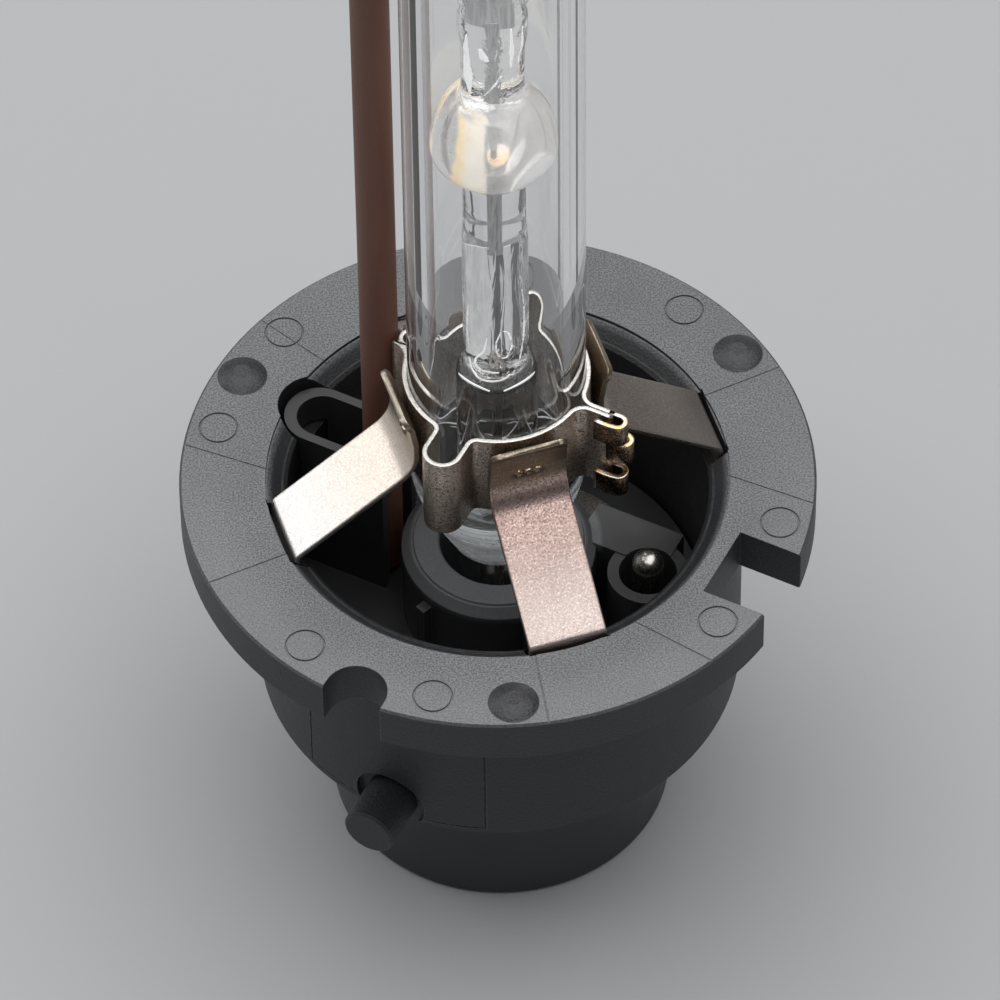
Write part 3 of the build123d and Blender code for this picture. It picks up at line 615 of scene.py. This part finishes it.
# ------------------------------------------------------------- retaining tabs
TAB_T, TAB_W = 0.3, 4.2
tab_path = fillet_path([(5.55, 32.85), (5.22, 32.3), (5.03, 31.0), (5.03, 29.2), (11.65, 24.47), (11.65, 21.5)], [0.8, 3.0, 2.2, 0.35], step=0.2)
head = Vector(tab_path[0]) - Vector((5.22, 32.3))
head.normalize()
CORNER = 0.5                                    # rounding of the top corners
tip = [Vector(tab_path[0]) + head * (0.13 - d) for d in (0.0, 0.01, 0.03, 0.07, 0.12, 0.18, 0.25, 0.33, 0.42, 0.5)]
tab_path = [tuple(p) for p in tip] + [p for p in tab_path[1:] if (Vector(p) - tip[-1]).dot(head) < -0.05]


def spot_welds(i, p, w):
    """Three small weld dimples near the top bend."""
    lift = 0.0
    for v in (-0.42, 0.0, 0.42):
        d2 = (w - v) ** 2 + (p[1] - 30.6) ** 2
        lift += 0.02 * math.exp(-d2 / 0.06)
    return lift


def tab_piece(name, angle):
    """The strip as a fine grid on both faces, so that weld dimples and roll waviness are in the mesh."""
    spin = turned(angle)
    path = offset_pts(tab_path)
    h, b = TAB_T / 2, 0.06
    cols = [(-TAB_W / 2 + TAB_W * k / 40) for k in range(41)]
    rim = [(-TAB_W / 2 + b * (1 - math.cos(math.radians(q))), h - b + b * math.sin(math.radians(q))) for q in (0, 30, 60)]
    loop = []                                   # (w, n) once round the section
    loop += [(w, n) for w, n in rim]
    loop += [(max(-TAB_W / 2 + b, min(TAB_W / 2 - b, w)), h) for w in cols[1:-1]]
    loop += [(-w, n) for w, n in reversed(rim)]
    loop += [(-w, -n) for w, n in rim]
    loop += [(max(-TAB_W / 2 + b, min(TAB_W / 2 - b, w)), -h) for w in reversed(cols[1:-1])]
    loop += [(w, -n) for w, n in reversed(rim)]
    verts, faces, rows = [], [], []
    total = len(path)
    for i, (p, nrm) in enumerate(path):
        row = []
        # the sheared top corners are rounded
        d = (Vector(tab_path[0]) - Vector(p)).dot(head)
        half = TAB_W / 2
        if d < CORNER:
            half -= CORNER - math.sqrt(max(0.0, CORNER ** 2 - (CORNER - d) ** 2))
        for w, n in loop:
            ww = w * half / (TAB_W / 2)
            wave = 0.012 * math.sin(p[1] * 1.9 + angle) * (1 - (w / (TAB_W / 2)) ** 2)
            dent = spot_welds(i, p, ww)
            nn = n - wave - dent
            x, y = spin(p[0] + nrm[0] * nn, ww)
            row.append(len(verts))
            verts.append((x, y, p[1] + nrm[1] * nn))
        rows.append(row)
    m = len(loop)
    for a, c in zip(rows, rows[1:]):
        for k in range(m):
            k2 = (k + 1) % m
            faces.append((a[k], a[k2], c[k2], c[k]))
    faces.append(tuple(reversed(rows[0])))
    faces.append(tuple(rows[-1]))
    o = mesh_object("tab_strip_" + name, verts, faces, tab_material("tab_rose_steel_" + name, angle))
    mod = o.modifiers.new("normals", "WEIGHTED_NORMAL")
    mod.keep_sharp = True
    return stand_in(o, "tab_steel", "retaining_tab_" + name)


for name, angle in TABS.items():
    tab_piece(name, angle)


def weld_marks(name, angle):
    """Three little cratered spot welds side by side on the tab's upright."""
    spin = turned(angle)
    ring = [(0.25, -0.02), (0.245, 0.03), (0.21, 0.09), (0.155, 0.125), (0.11, 0.115), (0.07, 0.06), (0.0, 0.04)]
    verts, faces = [], []
    seg = 20
    for j, v0 in enumerate((-0.52, 0.0, 0.52)):
        rows = []
        for r, h in ring:
            if r == 0:
                rows.append([len(verts)])
                x, y = spin(5.18 + h, v0)
                verts.append((x, y, 30.75))
                continue
            row = []
            for k in range(seg):
                q = 2 * math.pi * k / seg
                rr = r * (1 + 0.10 * math.sin(2 * q + j) + 0.06 * math.sin(5 * q + 2 * j))
                x, y = spin(5.18 + h, v0 + rr * math.cos(q))
                row.append(len(verts))
                verts.append((x, y, 30.75 + rr * math.sin(q)))
            rows.append(row)
        for a, b in zip(rows, rows[1:]):
            for k in range(seg):
                k2 = (k + 1) % seg
                faces.append((a[k], a[k2], b[0]) if len(b) == 1 else (a[k], a[k2], b[k2], b[k]))
    o = mesh_object("weld_marks_" + name, verts, faces, gold)
    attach(o, "root")


gold = ear_material()
for name, angle in TABS.items():
    weld_marks(name, angle)

# ----------------------------------------------------------------- clamp band
BAND_T, BAND_TOP, BAND_H = 0.26, Z_FLANGE + 8.45, 5.4
BAND_R = 4.62 + BAND_T / 2
seam_v, seam_u = BAND_T / 2 + 0.01, 6.75


def lobe_half(side_v, fr):
    cv = side_v + fr
    cu = math.sqrt((BAND_R + fr) ** 2 - cv ** 2)
    return math.atan2(cv, cu), (cu, cv)


def arc_pts(c, r, a0, a1, n):
    return [(c[0] + r * math.cos(a0 + (a1 - a0) * k / n), c[1] + r * math.sin(a0 + (a1 - a0) * k / n)) for k in range(n + 1)]


def lobe_pts(at, side_v, fr, end_u):
    t, (cu, cv) = lobe_half(side_v, fr)
    pts = arc_pts((cu, -cv), fr, math.pi - t, math.pi / 2, 10)
    pts += [(cu + (end_u - side_v - cu) * k / 6, -side_v) for k in range(1, 6)]
    pts += arc_pts((end_u - side_v, 0), side_v, -math.pi / 2, math.pi / 2, 18)
    pts += [(end_u - side_v + (cu - end_u + side_v) * k / 6, side_v) for k in range(1, 6)]
    pts += arc_pts((cu, cv), fr, -math.pi / 2, -(math.pi - t), 10)
    c, s = math.cos(math.radians(at)), math.sin(math.radians(at))
    return [(x * c - y * s, x * s + y * c) for x, y in pts], math.radians(at) - t, math.radians(at) + t


ts, cs = lobe_half(seam_v, 0.8)
rear, r0, r1 = lobe_pts(90, 0.93, 0.5, 6.98)
side, s0, s1 = lobe_pts(180, 0.55, 1.2, 5.5)
front, f0, f1 = lobe_pts(270, 0.93, 0.5, 6.98)
line = [(seam_u - (seam_u - cs[0]) * k / 5, seam_v) for k in range(5)]
line += arc_pts(cs, 0.8, -math.pi / 2, -(math.pi - ts), 10)
line += arc_pts((0, 0), BAND_R, ts, r0, 30)[1:-1]
line += rear
line += arc_pts((0, 0), BAND_R, r1, s0, 30)[1:-1]
line += side
line += arc_pts((0, 0), BAND_R, s1, f0, 30)[1:-1]
line += front
line += arc_pts((0, 0), BAND_R, f1, 2 * math.pi - ts, 30)[1:-1]
line += [(x, -y) for x, y in reversed(arc_pts(cs, 0.8, -math.pi / 2, -(math.pi - ts), 10))]
line += [(cs[0] + (seam_u - cs[0]) * k / 5, -seam_v) for k in range(1, 6)]
spin_key = turned(A_KEY)


def place_key(x, y, w):
    a, b = spin_key(x, y)
    return (a, b, w)


steel_band = band_material()
band = strip("band_wrap", line, BAND_T / 2, BAND_TOP - BAND_H, BAND_TOP, place_key, steel_band, bevel=0.055)
stand_in(band, "band_steel", "clamp_band")

EAR_R = 0.40                                    # fold radius at the middle of the sheet


def ear(name, sign, z0, z1, reach):
    """One leg of the seam folded back over the other, as a thick rolled loop."""
    far = seam_u + reach
    pts = [(seam_u - 0.3, sign * seam_v), (seam_u + 0.1, sign * seam_v), (far, sign * seam_v)]
    c = (far, sign * (seam_v - EAR_R))
    pts += [(c[0] + EAR_R * math.sin(q), c[1] + sign * EAR_R * math.cos(q)) for q in [math.pi * k / 20 for k in range(1, 21)]]
    back = sign * (seam_v - 2 * EAR_R)
    pts += [(far - (far - 6.0) * k / 6, back - sign * 0.05 * math.sin(math.pi * k / 6)) for k in range(1, 7)]
    o = strip(name, pts, 0.15, z0, z1, place_key, gold, bevel=0.07)
    return stand_in(o, "band_steel", "clamp_band")


ear("crimp_ear_top", +1, BAND_TOP - 1.45, BAND_TOP, 0.36)
ear("crimp_ear_middle", -1, BAND_TOP - 3.45, BAND_TOP - 1.95, 0.46)
ear("crimp_ear_bottom", +1, BAND_TOP - BAND_H, BAND_TOP - BAND_H + 1.45, 0.40)

# ---------------------------------------------------------------------- glass
def ripple(r, z, a):
    """The lower seal of the envelope was closed in the flame: faint uneven rings."""
    k = max(0.0, 1 - abs(z - f(-3.0)) / 1.6) * (1 if r > 2.4 else 0)
    w = 0.035 * math.sin(7.5 * (z - f(-4.4))) + 0.02 * math.sin(3 * a + z) + 0.012 * math.sin(9 * a + 4 * z)
    return r + k * w, z


env_out = hermite([(2.62, f(-4.28)), (3.05, f(-3.3)), (3.62, f(-2.0)), (4.2, f(-0.6)), (4.615, f(1.5))], [(0.35, 1.0), (0.0, 1.0)], 14)
env_up = hermite([(4.615, f(40.3)), (4.3, f(42.0)), (3.3, f(43.6)), (2.35, f(44.7)), (2.1, f(46.0))], [(0.0, 1.0), (0.0, 1.0)], 12)
env_up_in = hermite([(1.80, f(43.9)), (2.5, f(43.2)), (3.2, f(41.8)), (3.5, f(40.0))], [(0.6, -0.5), (0.0, -1.0)], 12)
env_lo_in = hermite([(3.5, f(2.0)), (3.25, f(0.3)), (2.6, f(-1.2)), (2.14, f(-1.9))], [(0.0, -1.0), (-0.7, -0.5)], 12)
straight = [(4.615, f(1.5 + 38.8 * k / 30)) for k in range(1, 30)]
inner = [(3.5, f(40.0 - 38.0 * k / 30)) for k in range(1, 30)]
env = [(2.14, f(-4.4)), (2.5, f(-4.4))] + env_out + straight + env_up + [(2.1, f(47.4)), (2.0, f(47.52)), (1.80, f(47.6))] + env_up_in + inner + env_lo_in
v, fc = lathe_mesh([(env, True)], 192, ripple)
clear = quartz_material("envelope_quartz", worked=((f(-4.4), f(-1.0), 0.7, 2.2, 0.06), (f(41.0), f(47.5), 0.9, 1.0, 0.04)), haze=(f(-4.6), f(-1.6), 0.32))
envelope = mesh_object("envelope_glass", v, fc, clear)
stand_in(envelope, "quartz", "outer_envelope")
envelope.visible_shadow = False

# arc tube: one glass wall with its bore and its discharge chamber
ZC = Z_ARC
neck = math.sqrt(3.23 ** 2 - 1.75 ** 2)
ball = [(3.23 * math.cos(q), ZC + 3.23 * math.sin(q)) for q in [math.asin(-neck / 3.23) + 2 * math.asin(neck / 3.23) * k / 60 for k in range(61)]]
outer = [(1.12, 13.42), (2.0, 13.42), (2.08, 13.46), (2.11, 13.55)]
outer += [(2.11, 13.55 + (f(9.2) - 13.55) * k / 12) for k in range(1, 13)]
outer += [(2.08, f(9.5)), (2.0, f(9.8)), (1.86, f(10.05)), (1.74, f(10.25)), (1.7, f(10.5))]
outer += [(1.7, f(10.5 + 9.6 * k / 24)) for k in range(1, 25)]
outer += [(1.66, f(20.4)), (1.62, f(20.8)), (1.60, ZC - neck - 0.75), (1.61, ZC - neck - 0.45), (1.66, ZC - neck - 0.15)]
outer += ball[1:-1]
outer += [(1.66, ZC + neck + 0.15), (1.61, ZC + neck + 0.45), (1.6, ZC + neck + 0.75), (1.62, f(34.0)), (1.7, f(34.5)), (1.77, f(34.9))]
outer += [(1.77, f(34.9 + 12.8 * k / 16)) for k in range(1, 17)]
outer += [(1.74, f(48.0)), (1.55, f(48.25)), (1.2, f(48.3)), (0.0, f(48.3))]
bore = [(0.0, f(9.3)), (0.35, f(9.25)), (0.65, f(9.05)), (0.9, f(8.65)), (1.04, f(8.2)), (1.1, f(7.7)), (1.1, f(4.0)), (1.1, f(0.0)), (1.1, f(-6.0)), (1.1, 13.5)]
chamber = [(0.0, ZC + 2.75)] + [(2.0 * math.cos(q), ZC + 2.75 * math.sin(q)) for q in [math.radians(90 - 180 * k / 48) for k in range(1, 48)]] + [(0.0, ZC - 2.75)]
pocket = [(0.5, f(9.75)), (1.0, f(9.72)), (1.45, f(9.55)), (1.72, f(9.3)), (1.66, f(9.6)), (1.4, f(9.86)), (1.0, f(9.98)), (0.5, f(9.95))]
v, fc = lathe_mesh([(bore + outer, False), (chamber, False), (pocket[::-1], True)], 144)
burner_glass = quartz_material(
    "burner_quartz", wave_mm=0.004,
    worked=((f(8.8), f(12.6), 0.75, 0.8, 0.10), (f(12.0), f(20.4), 0.55, 0.10, 0.05), (f(30.8), f(36.0), 0.8, 0.8, 0.08)),
    haze=(f(9.0), f(11.0), 0.12),
)
burner = mesh_object("burner_glass", v, fc, burner_glass)
stand_in(burner, "quartz", "arc_tube")
burner.visible_shadow = False

# painted highlights: white sheets inside the burner's glass that stand in for its bright glints
def ribbon(name, path, widths, across, mat):
    """A flat ribbon along a 3-D path, widened along one direction, closed as a thin lens."""
    pts = hermite(path, per=8)
    n = len(pts)
    verts, faces, rows = [], [], []
    side = Vector(across).normalized()
    for i, p in enumerate(pts):
        t = i / (n - 1)
        k = t * (len(widths) - 1)
        j = min(int(k), len(widths) - 2)
        w = (widths[j] + (widths[j + 1] - widths[j]) * (k - j)) / 2
        d = Vector(pts[min(i + 1, n - 1)]) - Vector(pts[max(i - 1, 0)])
        u = (side - d.normalized() * side.dot(d.normalized())).normalized()
        nrm = u.cross(d).normalized()
        row = []
        for q in range(8):
            a = math.pi * q / 4
            v = Vector(p) + u * (w * math.cos(a)) + nrm * (min(w, 0.05) * math.sin(a))
            row.append(len(verts))
            verts.append(tuple(v))
        rows.append(row)
    for a, b in zip(rows, rows[1:]):
        for q in range(8):
            faces.append((a[q], a[(q + 1) % 8], b[(q + 1) % 8], b[q]))
    faces.append(tuple(reversed(rows[0])))
    faces.append(tuple(rows[-1]))
    o = mesh_object(name, verts, faces, mat)
    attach(o, "root")
    o.visible_shadow = False
    return o


# painted highlights for the burner's glass
highlight_white = glowing_sheet_material("painted_highlight_white", 0.35, (1, 1, 0.6), 0.15, 0.34, 0.98)
highlight_thin = glowing_sheet_material("painted_highlight_thin", 0.30, (1, 1, 0.8), 0.36, 0.58, 0.8)


def on(r, deg, z):
    return (r * math.cos(math.radians(deg)), r * math.sin(math.radians(deg)), z)


ribbon("highlight_crescent_left", [on(1.92, a, f(9.55 + 0.30 * math.sin(math.radians((a - 196) * 2.4)))) for a in range(196, 266, 8)], (0.04, 0.34, 0.44, 0.40, 0.10), (0, -0.64, 0.77), highlight_white)
ribbon("highlight_crescent_right", [on(1.92, a, f(9.55 + 0.30 * math.sin(math.radians((344 - a) * 2.4)))) for a in range(344, 278, -8)], (0.04, 0.30, 0.38, 0.30, 0.08), (0, -0.64, 0.77), highlight_white)
ribbon("highlight_hook_upper", [(-0.42, -1.42, f(13.4)), (-0.58, -1.40, f(12.3)), (-1.02, -1.30, f(11.5)), (-0.86, -1.34, f(10.9)), (-0.34, -1.44, f(10.75)), (0.12, -1.44, f(10.7))], (0.04, 0.10, 0.20, 0.30, 0.34, 0.16), (0, -0.64, 0.77), highlight_white)
ribbon("highlight_hook_lower", [(-1.30, -1.06, f(11.4)), (-1.22, -1.16, f(10.7)), (-0.86, -1.40, f(10.2)), (-0.34, -1.50, f(10.05)), (0.26, -1.50, f(10.15)), (0.62, -1.40, f(10.5))], (0.05, 0.22, 0.34, 0.36, 0.20, 0.08), (0, -0.64, 0.77), highlight_white)
ribbon("highlight_loop_right", [(0.22, -1.5, f(13.9)), (0.0, -1.5, f(13.0)), (0.10, -1.5, f(12.1)), (0.44, -1.46, f(11.9)), (0.72, -1.4, f(12.6)), (0.60, -1.42, f(13.7)), (0.30, -1.5, f(14.0))], (0.06, 0.09, 0.12, 0.09, 0.06), (0, -0.64, 0.77), highlight_thin)
ribbon("highlight_streak_right", [(1.25, -1.0, f(16.6)), (1.36, -0.9, f(14.6)), (1.30, -0.95, f(12.8)), (1.12, -1.15, f(11.4))], (0.05, 0.22, 0.34, 0.14), (0, -0.64, 0.77), highlight_thin)
ribbon("highlight_streak_left", [(-1.30, -0.95, f(15.4)), (-1.40, -0.85, f(13.6)), (-1.34, -0.95, f(12.2))], (0.05, 0.16, 0.08), (0, -0.64, 0.77), highlight_thin)
ribbon("highlight_top_left", [(-1.08, -0.95, f(35.7)), (-1.16, -0.90, f(34.2)), (-1.12, -0.92, f(32.6)), (-1.04, -1.02, f(31.4))], (0.06, 0.42, 0.56, 0.14), (1, 0, 0), highlight_white)
ribbon("highlight_top_bead", [(-0.50, -1.25, f(35.0)), (-0.36, -1.28, f(34.4)), (-0.24, -1.28, f(34.1))], (0.16, 0.40, 0.18), (1, 0, 0), highlight_white)
ribbon("highlight_top_middle", [(-0.36, -1.32, f(31.6)), (0.02, -1.34, f(32.3)), (0.36, -1.30, f(33.0))], (0.10, 0.38, 0.16), (0, -0.64, 0.77), highlight_thin)
ribbon("highlight_top_right", [(0.78, -1.15, f(36.3)), (0.82, -1.15, f(34.6)), (0.80, -1.15, f(33.4))], (0.08, 0.24, 0.10), (1, 0, 0), highlight_white)
ribbon("highlight_top_far", [(1.30, -0.80, f(36.0)), (1.28, -0.85, f(34.6)), (1.16, -0.95, f(33.5))], (0.08, 0.22, 0.10), (1, 0, 0), highlight_white)

# faint light grey swirls in the shoulder, where the flame closed the envelope, in the middle of its wall; they glow a
# little, which is painted light
swirl_glow = glowing_sheet_material("quartz_swirl_glow", 0.55, (1, 1, 1), 0.28, 0.46, 0.85, (0.84, 0.86, 0.87), 0.20)


def shoulder_r(z):
    """Middle of the wall at a height above the flange."""
    marks = [(-1.4, 3.2), (-1.0, 3.42), (0.0, 3.78), (1.0, 3.98), (2.0, 4.05), (6.0, 4.06)]
    for (z0, r0), (z1, r1) in zip(marks, marks[1:]):
        if z <= z1:
            return r0 + (r1 - r0) * max(0.0, z - z0) / (z1 - z0)
    return marks[-1][1]


for name, a0, a1, z0, z1, dip, width in (
    ("a", 18, 118, 3.6, 1.0, 1.3, 0.13), ("b", 64, 168, 0.6, 3.8, 1.5, 0.11), ("c", 40, 140, 1.4, 1.9, 1.9, 0.10),
    ("d", 2, 70, 4.8, 2.2, 0.7, 0.10), ("e", 112, 176, 2.4, 5.0, 0.8, 0.10),
):
    track = []
    for k in range(13):
        t = k / 12
        z = z0 + (z1 - z0) * t - dip * math.sin(math.pi * t) + 0.18 * math.sin(9 * t + a0)
        track.append(on(shoulder_r(z), a0 + (a1 - a0) * t, f(z)))
    ribbon("glass_swirl_" + name, track, (0.03, width, width * 0.7, width * 1.1, width * 0.6, 0.03), (0, 0, 1), swirl_glow)

# a painted sheen on the lower end of the envelope: a pale, faintly glowing sheet just inside its outer wall, standing
# in for its bright reflections
sheen_pts = [(2.48, f(-4.18)), (2.92, f(-3.3)), (3.50, f(-2.0)), (3.92, f(-1.05)), (3.86, f(-1.02)), (3.44, f(-1.95)), (2.86, f(-3.26)), (2.44, f(-4.14))]
v, fc = lathe_mesh([(sheen_pts, True)], 144)
end_sheen = mesh_object("envelope_end_sheen", v, fc, glowing_sheet_material("envelope_end_sheen_glow", 0.34, (0.10, 0.10, 2.2), 0.36, 0.60, 0.75, (0.70, 0.73, 0.74), 0.12))
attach(end_sheen, "root")
end_sheen.visible_shadow = False

# ------------------------------------------------------------- burner insides


def pale_material(name, metallic, dark, light, streak_mm):
    """Bright satin metal that takes the tone of the light around it."""
    s = Shade(name, metallic=metallic)
    streak = s.noise(streak_mm, 3, 0.65, stretch=(1, 1, 0.06))
    spots = s.span(s.noise(0.3, 3, 0.7), 0.6, 0.75)
    col = s.mix(s.span(streak, 0.35, 0.65), dark, light)
    col = s.mix(s.math("MULTIPLY", spots, 0.3), col, dark)
    s.set(Base_Color=col, Roughness=s.span(streak, 0.2, 0.8, 0.28, 0.45), Normal=s.bump(streak, 0.004, 0.5))
    return s.m


paint("lower_electrode", pale_material("tungsten_rod", 0.25, (0.24, 0.24, 0.245), (0.50, 0.50, 0.505), 0.08))
paint("upper_electrode", pale_material("tungsten_bright", 0.15, (0.42, 0.425, 0.43), (0.66, 0.665, 0.67), 0.07))
paint("upper_foil", pale_material("molybdenum_foil", 0.15, (0.50, 0.505, 0.51), (0.78, 0.785, 0.79), 0.16))


def foil_piece(name, node, z0, z1, across, angle):
    """A thin foil, creased lengthwise, as a strip with feathered edges."""
    verts, faces = [], []
    spin = turned(angle)
    steps = 40
    n = len(across)
    for k in range(steps + 1):
        z = z0 + (z1 - z0) * k / steps
        for side in (1, -1):
            for i, (u, d) in enumerate(across):
                t = 0.035 * (1 - (abs(u) / 1.05) ** 2) + 0.004
                wave = 0.02 * math.sin(z * 1.7 + u * 2.0)
                x, y = spin(u, d + wave + side * t)
                verts.append((x, y, z))
    row = 2 * n
    order = list(range(n)) + list(range(row - 1, n - 1, -1))
    for k in range(steps):
        for j in range(row):
            a, b = order[j], order[(j + 1) % row]
            faces.append((k * row + a, k * row + b, (k + 1) * row + b, (k + 1) * row + a))
    faces.append(tuple(reversed([order[j] for j in range(row)])))
    faces.append(tuple(steps * row + order[j] for j in range(row)))
    o = mesh_object(name, verts, faces, foil_material(name + "_satin", angle), smooth=False)
    return stand_in(o, "molybdenum", node)


def foil_material(name, angle):
    """Satin molybdenum, light on the flats, with painted shade lines along the creases and a faint painted glow."""
    s = Shade(name, metallic=0.12)
    x, y, z = s.xyz()
    q = math.radians(angle)
    u = s.math("ADD", s.math("MULTIPLY", x, math.cos(q)), s.math("MULTIPLY", y, math.sin(q)))
    rag = s.math("MULTIPLY", s.math("SUBTRACT", s.noise(0.5, 3, 0.6, stretch=(1, 1, 0.3)), 0.5), 0.10 * MM)
    u = s.math("ADD", u, rag)
    # painted shade: dark lines along two creases
    one = s.math("MULTIPLY", s.span(u, -0.10 * MM, -0.05 * MM), s.span(u, 0.15 * MM, 0.19 * MM, 1, 0))
    two = s.math("MULTIPLY", s.span(u, 0.42 * MM, 0.46 * MM), s.span(u, 0.66 * MM, 0.70 * MM, 1, 0))
    streak = s.noise(0.12, 3, 0.65, stretch=(1, 1, 0.06))
    col = s.mix(s.span(streak, 0.35, 0.7), (0.74, 0.745, 0.75), (0.90, 0.905, 0.91))
    col = s.mix(s.math("MULTIPLY", s.math("ADD", one, two, clamp=True), 0.92), col, (0.085, 0.085, 0.09))
    s.set(Base_Color=col, Roughness=s.span(streak, 0.2, 0.8, 0.34, 0.5), Normal=s.bump(streak, 0.008, 0.5))
    # painted light: the foil glows faintly
    s.set(Emission_Color=col, Emission_Strength=s.span(streak, 0.3, 0.7, 0.09, 0.14))
    return s.m


creases = [(-0.98, 0.10), (-0.5, 0.04), (-0.1, -0.04), (0.04, 0.12), (0.18, 0.02), (0.3, -0.04), (0.44, 0.06), (0.56, 0.12), (0.70, 0.02)]
foil_piece("seal_foil_lower", "lower_foil", f(11.0), f(19.4), creases, 8.0)
lead = metal_material("nickel_lead", (0.36, 0.34, 0.32), (0.60, 0.57, 0.53), 0.2, 0.36)
for node in ("lower_lead_wire", "upper_lead_wire", "return_wire"):
    paint(node, lead)
# the salts lie as a thin film on the chamber's wall, thick on one side and at the bottom
film_pts = []
for k in range(49):
    q = math.radians(90 - 180 * k / 48)
    film_pts.append((2.16 * math.cos(q) if 0 < k < 48 else 0.0, ZC + 2.86 * math.sin(q)))


def lumpy(r, z, a):
    return r + 0.012 * (1 + math.sin(5 * a + 3 * z)) * 0.5 + 0.008 * (1 + math.sin(11 * a - 7 * z)) * 0.5, z


v, fc = lathe_mesh([(film_pts, False)], 128, lumpy)
film = mesh_object("salt_film", v, fc, salts_material())
stand_in(film, "salts", "halide_salts")
film.visible_shadow = False
paint("return_tube", ceramic_material())

# ---------------------------------------------------------------------- stage
bpy.ops.mesh.primitive_plane_add(size=8.0, location=(0, 0, -0.00002))
floor = bpy.context.object
floor.name = "studio_floor"
floor.data.materials.append(floor_material())

def flag(name, azimuth, width):
    """A tall black studio flag that only shows in the glass, for dark lines along the tube's edge."""
    a = math.radians(azimuth)
    c = Vector((0.024 * math.sin(a), 0.024 * math.cos(a), 0.045))
    t = Vector((math.cos(a), -math.sin(a), 0)) * (width * MM / 2)
    up_ = Vector((0, 0, 0.045))
    mat = Shade(name + "_cloth", rough=0.95, color=(0.03, 0.03, 0.03)).m
    o = mesh_object(name, [tuple(c - t - up_), tuple(c + t - up_), tuple(c + t + up_), tuple(c - t + up_)], [(0, 1, 2, 3)], mat, metres=True)
    for way in ("camera", "diffuse", "glossy", "shadow", "volume_scatter"):
        setattr(o, "visible_" + way, False)


flag("flag_left", -55, 6.5)
flag("flag_right", 41, 2.8)

world = bpy.data.worlds.new("studio")
bpy.context.scene.world = world
world.use_nodes = True
world.node_tree.nodes["Background"].inputs[0].default_value = (0.95, 0.97, 1.0, 1)
world.node_tree.nodes["Background"].inputs[1].default_value = 0.10


def softbox(name, where, at, size, radiance, color=(1, 1, 1)):
    d = bpy.data.lights.new(name, "AREA")
    d.shape = "RECTANGLE"
    d.size, d.size_y = size
    d.energy = radiance * math.pi * size[0] * size[1]
    d.color = color
    o = bpy.data.objects.new(name, d)
    bpy.context.scene.collection.objects.link(o)
    o.location = where
    o.rotation_euler = (Vector(at) - Vector(where)).to_track_quat("-Z", "Y").to_euler()
    return o


softbox("overhead", (0.05, 0.12, 1.2), (0.02, 0.03, 0), (1.9, 1.9), 1.66)
softbox("left_side", (-1.0, 0.45, 0.55), (0, 0, 0.02), (0.8, 0.6), 1.6)

cam_data = bpy.data.cameras.new("camera")
cam = bpy.data.objects.new("camera", cam_data)
bpy.context.scene.collection.objects.link(cam)
elev, roll, dist = math.radians(50.4906), math.radians(-0.7118), 432.336
fwd = Vector((0, math.cos(elev), -math.sin(elev)))
right = Vector((1, 0, 0))
up = right.cross(fwd)
r2 = math.cos(roll) * right + math.sin(roll) * up
u2 = -math.sin(roll) * right + math.cos(roll) * up
rot = Matrix((r2, u2, -fwd)).transposed()
where = (Vector((0.09784, 0, 22.43466)) - fwd * dist) * MM
cam.matrix_world = Matrix.Translation(where) @ rot.to_4x4()
cam_data.sensor_width = 36.0
cam_data.lens = 8224.74 * 36.0 / 1000
cam_data.clip_start, cam_data.clip_end = 0.01, 20.0
bpy.context.scene.camera = cam
bpy.context.scene.view_settings.view_transform = "Standard"
